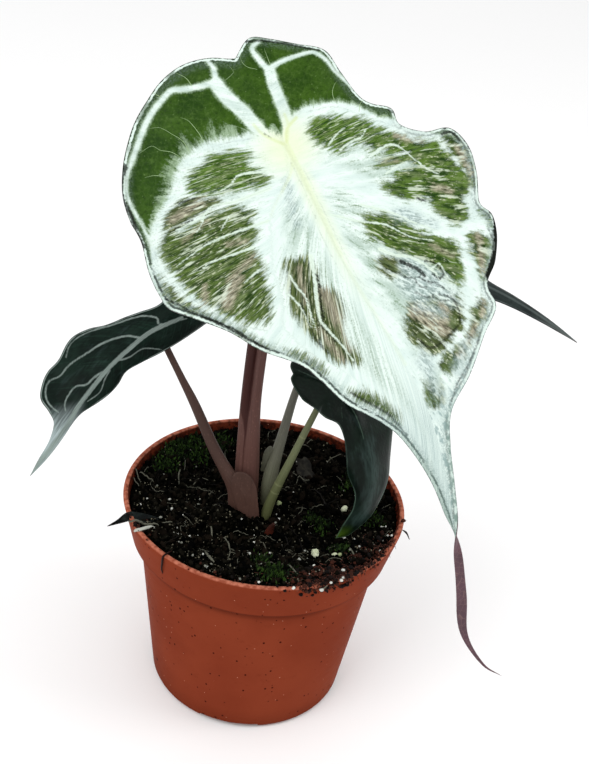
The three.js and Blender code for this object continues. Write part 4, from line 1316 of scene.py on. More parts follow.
# Green that shows through the white: how fresh it is, and its outline
greenAreas = [
    (1.0, [
        (-3, -37), (-8, -34), (-9, -30), (-10, -24), (-8, -19), (-6, -15), (-3, -12), (-1, -15), (1, -15),
        (4, -12), (7, -11), (9, -13), (8, -17), (7, -22), (5, -28), (3, -33), (1, -36)]),
    (0.1, [
        (7, -50), (4, -48), (1, -43), (1, -39), (3, -35), (5, -31), (7, -29), (9, -32), (9, -40),
        (10, -49)]),
    (0.5, [
        (9, -51), (11, -43), (11, -29), (14, -22), (17, -20), (19, -23), (24, -23), (26, -26), (34, -26),
        (44, -28), (49, -31), (49, -34), (47, -39), (43, -44), (38, -48), (32, -51), (24, -53), (14, -54)]),
    (0.1, [
        (36, -18), (37, -13), (39, -10), (43, -10), (48, -12), (52, -8), (57, -8), (61, -10), (67, -13),
        (76, -13), (75, -17), (72, -20), (65, -22), (55, -23), (48, -23), (42, -21)]),
    (1.0, [
        (-1, 9), (-3, 12), (-3, 17), (-1, 22), (2, 28), (6, 31), (10, 27), (9, 20), (10, 17), (7, 13),
        (4, 10)]),
    (0.9, [
        (4, 27), (9, 34), (13, 39), (16, 44), (19, 50), (23, 50), (23, 44), (20, 38), (17, 33), (14, 28),
        (10, 24)]),
    (0.8, [(18, 36), (18, 43), (21, 48), (25, 53), (29, 52), (28, 45), (26, 40), (21, 36)]),
    (1.0, [(18, 24), (17, 28), (17, 32), (19, 36), (21, 35), (21, 31), (20, 27)]),
    (0.8, [
        (26, 24), (25, 30), (24, 36), (24, 41), (26, 51), (34, 55), (39, 53), (43, 50), (49, 49), (52, 44),
        (46, 39), (40, 38), (36, 36), (34, 32), (32, 27)]),
    (0.7, [
        (33, 13), (35, 20), (40, 25), (47, 29), (53, 34), (58, 38), (64, 37), (70, 33), (68, 29), (62, 26),
        (56, 23), (50, 18), (45, 15), (39, 12)]),
    (0.0, [(48, 11), (51, 15), (53, 19), (57, 20), (58, 16), (57, 12), (54, 10)]),
    (0.1, [
        (68, 12), (69, 17), (71, 23), (74, 28), (78, 28), (83, 25), (85, 20), (87, 13), (86, 9), (81, 7),
        (75, 7), (71, 9)]),
    (0.6, [(58, 45), (60, 49), (64, 51), (69, 47), (74, 41), (70, 41), (64, 42)]),
    (0.3, [
        (78, 34), (81, 37), (85, 33), (88, 28), (91, 22), (93, 16), (94, 11), (91, 9), (89, 15), (89, 20),
        (86, 26), (82, 30)]),
    (0.5, [(16, 54), (18, 58), (22, 60), (27, 61), (33, 59.5), (40, 57.5), (37, 54), (31, 55), (22, 53)]),
    (0.8, [(50, 54), (53, 57), (57, 58), (60, 55), (56, 54)]),
    (0.2, [
        (22, -59.5), (30, -59.5), (37, -55.5), (43, -50), (49, -44), (56, -38), (57, -36), (50, -41),
        (44, -46.5), (37, -51.5), (30, -55.5), (23, -58)]),
    (0.3, [(93, 5), (96, 8), (100, 8), (103, 5), (103, 2), (98, 2)]),
    (0.4, [(84, -21), (88, -20), (95, -15), (103, -12), (99, -10), (92, -13), (86, -17)]),
    (0.3, [(60, -32), (66, -30), (74, -26), (72, -25), (64, -28)])]

# Where that green has worn to beige: (along, across) to (along, across), half width
beigePlaces = [
    (6, -46, 4.5, -35, 1.8), (34.5, -35, 40, -42, 2.3), (15, -46, 12, -36, 0.7), (30, -27, 34, -38, 1.2),
    (24, -27, 22, -33, 0.9), (32, -46, 38, -49, 1.0), (12, 37, 17, 45, 1.2), (18, 27, 20, 33, 0.7),
    (24, 57, 34, 57, 1.6), (72, 13, 81, 18, 3.2), (75, 22, 79, 20, 2.0), (33, 41, 37, 46, 1.5),
    (60, 48, 71, 42, 1.4), (60, -19, 73, -18, 1.2), (50, -11, 60, -12, 2.2), (62, -12, 71, -14, 1.2),
    (40, -15, 50, -18, 1.2), (86, 29, 92, 18, 1.5), (80, 36, 84, 33, 1.2), (54, 30, 62, 35, 0.8)]

# Soft grey-blue painted shade on the white, laid out in the same way
paintedShadePlaces = [
    (58, 18, 68, 23, 4.0), (68, 22, 73, 25, 3.0), (60, 15, 68, 17, 2.5), (37, 24, 46, 35, 1.2),
    (71, 15, 77, 21, 1.4), (12, -6, 26, -9, 0.8), (88, 6, 98, 5, 1.5), (88, 24, 96, 14, 1.0)]

# Ribs along which the white is thickest
whiteRibs = [
    (2.5, frostBands["midrib"][3]),
    (1.6, frostBands["rightArch"][3]),
    (2.2, frostBands["leftArch"][3]),
    (2.6, [
        (1, -1), (9, -4), (13, -8), (16, -13), (21, -17), (27, -19), (36, -23), (43, -24), (47, -25),
        (53, -29), (65, -26), (72, -22), (80, -18), (90, -15), (100, -11), (115, -7)]),
    (2.2, [
        (6, 1), (13, 6), (19, 13), (23, 17), (32, 23), (38, 30), (46, 36), (55, 41), (62, 40), (69, 36),
        (75, 34), (81, 31), (85, 26), (86, 19), (86, 13), (87, 8), (89, 1)]),
    (1.3, [
        (55, 41), (56, 45), (54, 50), (60, 52), (65, 52), (70, 47), (75, 43), (80, 39), (84, 38), (88, 32),
        (93, 24), (97, 16), (101, 10), (104, 6)])]

# Yellow-green lines at the hub and along the midrib: (half width, strength, points)
goldLines = [
    (0.3, 0.45, [(0, 0), (-7, -5), (-12, -6.2)]),
    (0.25, 0.4, [(0, 0), (-6, 4), (-10, 5)]),
    (0.3, 0.3, [(0, 0), (4, 0), (9, -3), (14, -9)]),
    (0.2, 0.15, [(14, -9), (17, -13), (20, -16)]),
    (0.8, 0.24, [(0, 0), (9, 0), (17, 0)]),
    (0.7, 0.18, [(17, 0), (30, 0), (42, 0)]),
    (0.5, 0.12, [(42, 0), (60, 0), (85, 0)]),
    (0.3, 0.6, [(0, 0), (-5, 3), (-7, 8)]),
]

# Thin dark lines: (half width, strength, points)
darkLines = [
    (0.2, 0.25, [
        (-8, -9), (-12, -21), (-12, -32), (-4, -42), (5, -52), (18, -57), (31, -53), (44, -45), (52, -34)]),
    (0.2, 0.25, [(-7, 12), (-4, 23), (5, 33), (13, 43), (22, 52), (33, 57), (40, 55), (54, 50)]),
    (0.25, 0.2, [(6, -1.5), (15, -1.6), (24, -2), (33, -3), (43, -3), (52, -3)]),
    (0.25, 0.16, [(10, 1.6), (25, 1.4), (40, 1.4), (60, 1.6)]),
    (0.5, 0.9, [(30, -59.5), (37, -54.5), (44, -47.5), (50, -42), (57, -36.5)]),
    (0.5, 0.9, [(34.5, 33.6), (36, 35), (36.5, 36.5)]),
    (0.3, 0.6, [(-7.5, -4.6), (-5, -3.4)]),
    # this one, along the right margin, is painted shadow at the leaf's edge
    (1.3, 1.0, [(54, 58.6), (56.5, 59), (62, 55.6), (68, 50.6), (72, 45.6), (74, 42.6)]),
    (0.5, 0.9, [(15.5, 55.5), (15.8, 59), (18, 60.5), (22, 61), (27, 60.4)]),
    (0.55, 0.9, [(44, -10.6), (48, -11.6), (52, -13.6), (56, -15.4), (58, -16)]),
    (0.5, 0.7, [(50, -19.6), (56, -20.8), (62, -21.6), (68, -20.8)]),
    (0.4, 0.7, [(56, -18.4), (60, -17.6), (66, -16.8)]),
    (0.6, 0.8, [(-40, 4), (-39, 9), (-35, 18), (-28, 27)]),
    (0.5, 0.8, [(3, 39), (7, 41), (10, 40)]),
    (0.8, 0.9, [(-20, -51), (-18, -54), (-14, -56.8), (-8, -57.4), (1, -58.5), (10, -59)]),
    (0.4, 0.9, [(9.2, -40), (9.2, -45), (9.8, -49)]),
    (0.45, 0.8, [(2.8, -35), (1.6, -39), (0.8, -42)]),
    (0.7, 0.9, [(17, 54), (18, 58), (22, 59)]),
    (0.5, 0.7, [(71, 23), (75, 26.5), (82, 24.5), (84, 19), (85, 11), (80, 8.4)]),
    (0.75, 0.9, [(54, 17.5), (57, 19.5), (60, 21.5), (63, 22)]),
    (0.5, 0.85, [(58.5, 25), (60.5, 27.5), (63.5, 28.6), (66, 28), (66.5, 25.8), (64, 25)]),
    (0.45, 0.8, [(62, 20), (65, 21.5), (67, 24), (70, 25.5)]),
    (0.4, 0.7, [(57, 15), (60, 16), (62, 18.5), (65, 18.5), (67, 20.5)]),
    (0.4, 0.6, [(66, 16), (69, 18), (71, 21)]),
    (0.35, 0.6, [(70, 21), (73, 22.5), (74, 25)]),
    (0.45, 0.7, [(60, 53), (66, 51), (71, 46), (76, 43)]),
    (0.4, 0.6, [(90, 28), (95, 20), (99, 13), (103, 9)]),
    (0.5, 0.7, [(84, -21), (91, -17), (98, -13), (108, -10)])]

# Fine raised veins over the green: (half width, points)
fineVeins = [
    (0.2, [(0, -9), (-2, -15), (-3, -18), (-1, -20)]),
    (0.3, [(-15, -24), (-18, -24), (-22, -25), (-24, -27)]),
    (0.25, [(-14, -30), (-18, -30), (-21, -32), (-24, -35), (-25, -40)]),
    (0.22, [(-14, -33), (-17, -35), (-19, -38), (-21, -40), (-21, -44), (-21, -46)]),
    (0.25, [(-12, -41), (-14, -44), (-15, -47)]),
    (0.3, [(-31, -19), (-34, -20), (-37, -23)]),
    (0.25, [(-31, -30), (-33, -32), (-35, -33)]),
    (0.2, [(-29, 4), (-31, 1), (-34, 0), (-37, 1)]),
    (0.16, [(-29, -8), (-30, -5), (-31, -4), (-34, -5)]),
    (0.25, [(-6, 23), (-9, 24), (-11, 26), (-12, 28)]),
    (0.2, [(-7, 15), (-9, 16)]),
    (0.25, [(-29, 9), (-32, 9), (-36, 9)]),
    (0.25, [(0, 29), (-2, 31), (-3, 34)]),
    (0.25, [(4, 34), (5, 38)]),
]

# Veins that part the green inside the white
whiteVeins = [
    (0.3, [(5, -11), (2, -19), (3, -22), (4, -24), (4, -30), (1, -37)]),
    (0.22, [(6, 13), (4, 17), (3, 21)]),
    (0.25, [(9, 16), (8, 21), (8, 25), (6, 28)]),
    (0.32, [(15, 25), (14, 29), (14, 34), (17, 37), (24, 40), (28, 43), (30, 45)]),
    (0.5, [(11, -12), (10, -25), (8, -32), (10, -37), (10, -43), (10, -49)]),
    (0.36, [(21, -17), (20, -26), (19, -38), (20, -46), (21, -52)]),
    (0.36, [(27, -26), (26, -34), (25, -41), (26, -44)]),
    (0.3, [(35, -27), (36, -31), (37, -34)]),
    (0.3, [(10, -36), (12, -38), (14, -41)]),
    (0.25, [(14, -29), (16, -32), (17, -33)]),
    (0.55, [
        (38, -9.5), (43, -11), (47, -12.5), (51, -14.5), (57, -17), (62, -16.5), (68, -15.5), (75, -15)]),
    (0.3, [(41, -19), (45, -18.5), (49, -17.5), (53, -18.5), (60, -20)]),
    (0.25, [(46, -22), (51, -20.5), (58, -21)]),
    (0.45, [(46, 13), (51, 17), (54, 21), (59, 24), (64, 26), (67, 26), (71, 30)]),
    (0.25, [(62, 26), (62, 29), (65, 29), (68, 29), (70, 30)]),
    (0.25, [(23, 27), (22, 32), (22, 36)]),
    (0.3, [(28, 3), (34, 11), (39, 19), (47, 25), (53, 32)]),
    (0.3, [(29, 14), (36, 23), (43, 29), (51, 36)])]


# On the left side the streaks bend away from the midrib, and run straight out past its great rib.
# On the right they fan out from a point beside it.
streaks = {
    "bend": {"least": 14, "lean": 0.8, "from": 25, "reach": 12},
    "straight": {"middle": 20, "size": 77, "far": 57, "shift": 100},
    "fan": {"along": 10, "across": -15, "size": 26, "shift": 200},
}


def streakPlaces(plan):
    # places across and along the streaks
    s, t = plan[:, 0], plan[:, 1]
    bend, line, fan = streaks["bend"], streaks["straight"], streaks["fan"]
    right = t >= 0
    away = np.abs(t)
    ribS, ribT = np.transpose(whiteRibs[3][1])
    moved = bend["least"] + bend["lean"] * np.maximum(0, s - bend["from"])
    leftOver = s - moved * (1 - np.exp(-away / bend["reach"]))
    straight = (s - line["middle"]) * line["size"] / (away + line["far"]) - line["shift"]
    leftOver = np.where(t < np.interp(s, ribS, ribT), straight, leftOver)
    reach = t - fan["across"]
    ahead = s - fan["along"]
    turned = np.arctan2(np.maximum(ahead, 0), np.maximum(reach, 0.5)) * fan["size"]
    rightOver = np.where(ahead < 0, ahead, turned)
    rightDown = np.where(ahead < 0, reach, np.hypot(ahead, reach))
    over = np.where(right, rightOver + fan["shift"], leftOver)
    return np.stack([over, np.where(right, rightDown, away), np.zeros(len(s))], -1)


def markMainBlade(grid):
    plan = grid["plan"].reshape(-1, 2)
    frost = np.full(len(plan), -99.0)
    nearest = np.full(len(plan), 1e9)
    lash = np.zeros(len(plan))
    vein = np.zeros((len(plan), 3))
    for i, (start, end, feather, points) in enumerate(frostBands.values()):
        distance, run, hand = nearPath(plan, finePath(points))
        half = start + (end - start) * run / max(run.max(), 1)
        frost = np.maximum(frost, half - distance)
        closer = distance < nearest
        nearest = np.minimum(nearest, distance)
        vein[closer] = np.stack([run + 150 * i, distance * hand, np.zeros(len(run))], -1)[closer]
        lash[closer] = feather
    frost = np.maximum(frost, insideBy(plan, whiteLoop))
    green = np.full(len(plan), -9.0)
    fresh = np.zeros(len(plan))
    for share, loop in greenAreas:
        value = insideBy(plan, finePath(loop + loop[:1], 4)[:-1])
        fresh = np.where(value > green, share, fresh)
        green = np.maximum(green, value)
    cut = np.full(len(plan), -9.0)
    for half, points in whiteVeins:
        distance, run, _ = nearPath(plan, finePath(points, 4))
        cut = np.maximum(cut, half * (1.2 - 0.9 * run / max(run.max(), 1)) - distance)
    rib = np.full(len(plan), 99.0)
    for half, points in whiteRibs:
        rib = np.minimum(rib, nearPath(plan, finePath(points, 4))[0] / half)
    beige, paintedShade = (np.full(len(plan), -9.0) for _ in range(2))
    for field, places in ((beige, beigePlaces), (paintedShade, paintedShadePlaces)):
        for a, b, c, d, half in places:
            inside = half - nearPath(plan, np.array([(a, b), (c, d)], float))[0]
            np.maximum(field, inside, out=field)
    dark, darkShare = lineField(plan, darkLines)
    gold, goldShare = lineField(plan, goldLines)
    fields = {"frost": frost, "nearVein": nearest, "lash": lash, "green": green, "fresh": fresh,
              "beige": beige, "paintedShade": paintedShade, "cut": cut, "rib": rib, "dark": dark, "darkShare": darkShare,
              "gold": gold, "goldShare": goldShare, "rim": nearPath(plan, grid["rim"])[0]}
    shape = (grid["rows"], grid["columns"])
    fields = {key: value.reshape(shape) for key, value in fields.items()}
    triples = {"vein": vein, "streak": streakPlaces(plan),
               "plan": np.column_stack([plan, np.zeros(len(plan))])}
    fields.update({key: value.reshape(*shape, 3) for key, value in triples.items()})
    return fields


def insideBy(spots, loop):
    # how far each spot lies inside a loop, or outside it as a negative
    loop = np.asarray(loop, float)
    away = nearPath(spots, np.vstack([loop, loop[:1]]))[0]
    return np.where(insideLoop(spots, loop), away, -away)


def lineField(spots, lines):
    # how far each spot is inside the nearest of some thin lines, and that line's strength
    inside = np.full(len(spots), -9.0)
    share = np.zeros(len(spots))
    for half, strength, points in lines:
        value = half - nearPath(spots, finePath(points, 4))[0]
        share = np.where(value > inside, strength, share)
        inside = np.maximum(inside, value)
    return inside, share


def mainBladeFinish():
    look = Finish("frosted leaf, upper face", Roughness=0.45, Specular_IOR_Level=0.06)
    vein, streak, plan = (look.kept(n, "Vector") for n in ("vein", "streak", "plan"))
    frost, green, beige, rim, lash, rib, fresh = (look.kept(n) for n in ("frost", "green", "beige", "rim",
                                                                       "lash", "rib", "fresh"))
    here = look.place()
    s = plan.axis(0)
    t = plan.axis(1)
    fine = streak.stretch(1.3, 0.16).grain(4.0, 0.65)
    broad = streak.stretch(0.36, 0.07).grain(3.0, 0.6)
    hairs = streak.stretch(3.0, 0.3).grain(3.0, 0.6)
    wide = streak.stretch(0.8, 0.06).grain(3.0, 0.6)
    speckle = look.place(1.5).grain(4.0, 0.75)
    cloudy = look.place(0.09).grain()
    mottled = look.place(0.7).grain(4.0, 0.7)
    rough = speckle * 3.2 - 1.6
    # the veins' white: a firm core with a soft, speckled glow beyond it
    lashes = vein.stretch(0.9, 0.2).grain(4.0, 0.7)
    ray = lashes.span(0.36, 0.7, -0.5, 0.9) * lash
    clumps = vein.stretch(0.34, 0.07).grain(3.0, 0.6)
    core = ray * 0.32 + frost
    core = rough * (lash * 0.3 + 0.2) + core
    soft = lash * 0.34 + 0.3
    white = core.span(soft * -1.0, soft)
    uneven = (clumps * 12.0 - 6.4) * lash
    glow = rough * (lash * 0.7 + 0.3) + (ray * 0.5 + frost)
    glow = uneven * 0.42 + glow
    glow = glow.span(lash * -1.6 - 0.5, 0.2)
    # living green between the veins
    panel = look.blend(cloudy.span(0.3, 0.7), (32, 60, 10), (54, 84, 20))
    panel = panel.mix(mottled.span(0.5, 0.72, 0, 0.5), (78, 106, 46))
    panel = panel.mix(mottled.span(0.5, 0.27, 0, 0.6), (20, 42, 8))
    net = plan.stretch(0.36, 0.36).cells(feature="DISTANCE_TO_EDGE")
    panel = panel.mix(net.span(0.07, 0.0, 0, 0.08), (104, 128, 74))
    panel = panel.mix(rim.span(8.0, 1.0, 0, 0.4), (22, 42, 14))
    panel = panel.mix(here.cells(0.5).span(0.13, 0.06, 0, 0.4), (116, 140, 90))
    panel = panel.mix(glow * 0.62, (176, 200, 170))
    # green and worn beige that show through
    deep = look.blend(fine.span(0.38, 0.62), (30, 47, 15), (84, 96, 54))
    deep = deep.mix(cloudy.span(0.45, 0.6, 0, 0.6), (64, 72, 46))
    alive = look.blend(fine.span(0.36, 0.62), (28, 58, 9), (86, 116, 42))
    through = deep.mix(fresh, alive)
    through = through.mix(wide.span(0.52, 0.66, 0, 0.6), (112, 128, 86))
    sand = look.blend(hairs.span(0.34, 0.66), (108, 104, 86), (180, 174, 154))
    sand = sand.mix(speckle.span(0.5, 0.7, 0, 0.5), (88, 86, 66))
    sandy = beige + (fine * 7.0 - 3.6)
    sandy = rough + sandy
    through = through.mix(sandy.span(-1.2, 1.6, 0, 0.9), sand)
    shadow = hairs.span(0.46, 0.3) * speckle.span(0.4, 0.55)
    through = through.mix(shadow * 0.8, (16, 28, 8))
    # cream flecks and streaks of frost over them
    flecked = hairs.span(0.52, 0.64) * mottled.span(0.38, 0.58)
    flecked = flecked * broad.span(0.38, 0.56, 0.15, 1.0)
    flecked = flecked * (fresh * -0.3 + 0.9)
    through = through.mix(flecked, (200, 206, 176))
    streaky = wide.span(0.46, 0.4) * fine.span(0.42, 0.56)
    through = through.mix(streaky * (fresh * -0.2 + 0.85), (206, 218, 200))
    # frost: thick along the ribs, a thin streaky veil between them
    mint = look.blend(broad.span(0.35, 0.7), (219, 233, 226), (201, 218, 213))
    thin = rib.span(0.9, 3.0) * s.span(0, 24, 0.35, 1.0)
    veil = (broad + rough * 0.12).span(0.35, 0.68) * thin
    mint = mint.mix(veil * 0.62, (150, 172, 154))
    flecks = (fine + rough * 0.16).span(0.5, 0.74, 0, 0.9) * thin
    mint = mint.mix(flecks, (100, 126, 92))
    mint = mint.mix(hairs.span(0.54, 0.72, 0, 0.34), (140, 162, 146))
    mint = mint.mix(speckle.span(0.58, 0.76, 0, 0.4), (146, 170, 160))
    fromMidrib = abs(t)
    fromHub = look.math("SQRT", s * s + t * t)
    warm = look.math("MAXIMUM", fromHub.span(16, 2, 0, 0.75),
                     fromMidrib.span(5, 1, 0, 0.5) * s.span(80, 14))
    mint = mint.mix(warm, (218, 226, 190))
    eaten = fine * 9.0 - 4.5
    eaten = wide * 5.0 + (eaten - 2.5)
    eaten = rough * 0.75 + eaten
    patch = (green + eaten).span(-1.9, 1.1)
    inside = mint.mix(patch, through)
    wander = look.place(0.8).grain() * 0.9 - 0.45
    cut = rough * 0.1 + look.kept("cut") + wander
    # soft grey-blue painted shade over the white
    bluish = look.blend(mottled.span(0.4, 0.6), (170, 188, 186), (112, 132, 128))
    bluish = bluish.mix(hairs.span(0.46, 0.6, 0, 0.9), (214, 229, 225))
    paintedShade = rough * 1.6 + (broad * 9.0 + look.kept("paintedShade"))
    inside = inside.mix(paintedShade.span(2.0, 6.5, 0, 0.8), bluish)
    inside = inside.mix(cut.span(-0.35, 0.2, 0, 0.95), (210, 226, 212))
    leaf = panel.mix(white, inside)
    gold = look.kept("gold").span(-0.7, 0.3) * look.kept("goldShare")
    leaf = leaf.mix(gold, (196, 208, 138))
    # the margin: a pale line, and below the lobes a broken dark one inside it
    rimAt = rim + (here.grain(3.0, 0.6, scale=0.9) * 1.1 - 0.55)
    low = s.span(8, 20, 0.25, 1.0)
    misty = rimAt.span(4.5, 2.0) * speckle.span(0.42, 0.6, 0.1, 0.75)
    leaf = leaf.mix(misty * low, (150, 168, 164))
    broken = look.place(0.3).grain(3.0, 0.6).span(0.38, 0.5)
    inner = rimAt.span(0.95, 1.2) * rimAt.span(2.0, 1.6)
    share = low * t.span(-1, 1, 0.9, 0.5)
    inner = inner * broken * share
    leaf = leaf.mix(inner, (50, 60, 54))
    fades = look.place(0.13).grain(2.0).span(0.36, 0.52, 0.3, 1.0)
    line = rimAt.span(0.15, 0.35) * rimAt.span(1.05, 0.8)
    leaf = leaf.mix(line * fades, (208, 224, 216))
    leaf = leaf.mix(rimAt.span(0.26, 0.08, 0, 0.75), (48, 54, 48))
    wobble = look.place(1.1).grain() * 1.5 - 0.85
    lines = (look.kept("dark") + wobble).span(-0.35, 0.35) * look.kept("darkShare")
    leaf = leaf.mix(lines, (16, 21, 15))
    # the tail's streaks and its withered end
    greyed = s.span(84, 112) * hairs.span(0.46, 0.62, 0.06, 0.75)
    leaf = leaf.mix(greyed, (134, 158, 158))
    edges = s.span(96, 116) * rim.span(3.2, 0.4)
    edges = edges * hairs.span(0.4, 0.62, 0.15, 0.85)
    leaf = leaf.mix(edges, (112, 134, 124))
    leaf = leaf.mix(s.span(150, 156), (74, 50, 62))
    look.colour(leaf)
    look.roughness(white.span(0, 1, 0.38, 0.55))
    relief = wide * 2.5 + (fine + speckle)
    look.bump(relief + net.span(0.0, 0.2, 0, 0.3), 0.32, 0.32)
    return look.material


def underFinish(name, dark, pale):
    look = Finish(name, Roughness=0.5)
    near = look.kept("nearVein")
    soft = look.place(0.12).grain()
    body = look.blend(soft.span(0.3, 0.7), dark, shade(dark, 0.6))
    colour = body.mix(near.span(1.8, 0.4, 0, 0.85), pale)
    net = look.kept("plan", "Vector").stretch(0.5, 0.5).cells(feature="DISTANCE_TO_EDGE")
    colour = colour.mix(net.span(0.05, 0.0, 0, 0.25), pale)
    look.colour(colour)
    look.bump(net.span(0.0, 0.2), 0.3, 0.3)
    return look.material


# Small leaves' markings, in the same flattened measures

leftVeins = {
    "midrib": (0.95, [(-8, 3), (1, 0), (8, -1), (16, -1), (31, -1), (46, -1), (54, 0), (64, 0), (82, -1)]),
    "back": (0.4, [
        (1, -2), (0, -4), (1, -6), (4, -9), (8, -11), (15, -14), (22, -18), (27, -20), (30, -20),
        (34, -18)]),
    "lobe": (0.4, [(1, -1), (-10, 5)]),
    "outer": (0.45, [
        (11, -2), (14, -6), (19, -9), (24, -11), (28, -12), (33, -14), (37, -15), (42, -15), (46, -17),
        (50, -16), (53, -13), (54, -9), (54, -6)]),
    "inner": (0.45, [(30, -1.2), (34, -3), (39, -4), (42, -7), (47, -7), (50, -6), (52, -4)]),
    "frontBack": (0.35, [(23, 0), (19, 2), (13, 3), (9, 6), (5, 10)]),
    "front": (0.35, [(29, 0), (33, 1), (38, 3), (44, 1)])}

frontVeins = {
    "midrib": (0.2, [(-17, 2), (0, 0), (14, 0), (24, 0)]),
    "leftOne": (0.1, [(4, 0), (9, -4), (14, -6)]),
    "rightBack": (0.1, [(0, 0), (-8, 6), (-13, 10)]),
}

rearVeins = {
    "midrib": (0.7, [(-12, 0), (0, 0), (40, 0), (86, 0)]),
    "leftBack": (0.4, [(0, 0), (-10, -7), (-17, -8)]),
    "rightBack": (0.4, [(0, 0), (-10, 7), (-17, 8)]),
    "leftOne": (0.4, [(4, 0), (10, -8), (17, -15)]),
    "rightOne": (0.4, [(4, 0), (10, 8), (17, 15)]),
    "leftTwo": (0.35, [(17, 0), (24, -7), (32, -10)]),
    "rightTwo": (0.35, [(17, 0), (24, 7), (32, 10)]),
}

# How each small leaf looks. The tail is (start, end, colour): how the blade changes towards its tip.
darkLooks = {
    "left": {"name": "dark leaf with grey veins", "dark": (8, 18, 14), "light": (20, 36, 29),
             "veins": (136, 150, 144), "strength": 0.85, "gloss": 0.42, "shine": 0.05, "highlightHaze": 0.25,
             "tail": (42, 60, (160, 174, 174)), "edge": (0.35, 0.8), "streaks": 0.55},
    "front": {"name": "glossy dark leaf", "dark": (6, 14, 10), "light": (16, 30, 22),
              "veins": (84, 106, 92), "strength": 0.6, "gloss": 0.3, "shine": 0.1, "highlightHaze": 0.25,
              "tail": (62, 74, (64, 90, 22)), "edge": (0.2, 0.7), "streaks": 0.15,
              # a painted bluish highlight: (half width, strength, points)
              "sheen": [(1.2, 1, [(27, 1.5), (38, 2.4), (50, 1.6), (60, 0.8)])]},
    "rear": {"name": "dark grey-green leaf", "dark": (22, 29, 29), "light": (42, 52, 50),
             "veins": (92, 102, 100), "strength": 0.6, "gloss": 0.42, "shine": 0.06, "highlightHaze": 0.2,
             "tail": (60, 80, (76, 82, 80)), "edge": (0.35, 0.8), "streaks": 0.4},
}


def markSmallBlade(grid, veins, sheen):
    plan = grid["plan"].reshape(-1, 2)
    frost = np.full(len(plan), -99.0)
    nearest = np.full(len(plan), 1e9)
    for key, (half, points) in veins.items():
        distance, run, _ = nearPath(plan, finePath(points))
        taper = 1.0 if key == "midrib" else 1.1 - 0.5 * run / max(run.max(), 1)
        frost = np.maximum(frost, half * taper - distance)
        nearest = np.minimum(nearest, distance)
    fields = {"frost": frost, "nearVein": nearest, "rim": nearPath(plan, grid["rim"])[0],
              "sheen": lineField(plan, sheen)[0]}
    shape = (grid["rows"], grid["columns"])
    fields = {key: value.reshape(shape) for key, value in fields.items()}
    fields["plan"] = np.column_stack([plan, np.zeros(len(plan))]).reshape(*shape, 3)
    return fields


def darkLeafFinish(given):
    dark, light, veins = (given[key] for key in ("dark", "light", "veins"))
    look = Finish(given["name"], Roughness=given["gloss"], Specular_IOR_Level=given["shine"])
    plan = look.kept("plan", "Vector")
    frost, rim = look.kept("frost"), look.kept("rim")
    s = plan.axis(0)
    t = plan.axis(1)
    soft = look.place(0.1).grain(4.0, 0.6)
    leaf = look.blend(soft.span(0.3, 0.72), dark, light)
    # faint side streaks that lean towards the tip, and wrinkles
    slanted = look.put("CombineXYZ", s - abs(t) * 0.8, t * 0.1)
    streaks = slanted.grain(3.0, 0.55, scale=0.85)
    leaf = leaf.mix(streaks.span(0.52, 0.7, 0, given["streaks"]), shade(light, 1.9))
    wrinkles = plan.stretch(0.35, 1.2).grain()
    leaf = leaf.mix(wrinkles.span(0.5, 0.3, 0, 0.6), dark)
    # a pale bluish haze over the blade: painted highlight
    haze = plan.stretch(0.09, 0.3).grain(3.0, 0.6)
    leaf = leaf.mix(haze.span(0.52, 0.72, 0, 0.5 * given["highlightHaze"]), (74, 92, 92))
    # the sheen: a painted bluish highlight along a given path
    glow = look.kept("sheen") + (haze * 8.0 - 4.0)
    glow = glow.span(-4.6, 2.4, 0, 0.8) * wrinkles.span(0.3, 0.6, 0.5, 1.0)
    leaf = leaf.mix(glow, (50, 66, 62))
    start, end, tailColour = given["tail"]
    wisp = plan.stretch(0.08, 1.6).grain()
    along = s - abs(t)
    share = along.span(start, end) * wisp.span(0.3, 0.6, 0.45, 1.0)
    leaf = leaf.mix(share, tailColour)
    wobble = look.place(0.8).grain(2.0) * 0.5 - 0.25
    line = (frost + wobble).span(-0.25, 0.3, 0, given["strength"])
    ribbing = plan.stretch(0.08, 2.4).grain().span(0.32, 0.66)
    leaf = leaf.mix(line, look.blend(ribbing, shade(veins, 0.62), veins))
    inner, outer = given["edge"]
    fades = look.place(0.12).grain(2.0).span(0.38, 0.55, 0.15, 0.9 * given["strength"])
    edge = rim.span(inner - 0.15, inner) * rim.span(outer, outer - 0.25)
    leaf = leaf.mix(edge * fades, veins)
    look.colour(leaf)
    look.bump(wrinkles + streaks, 0.35, 0.3)
    return look.material


# Plain finishes

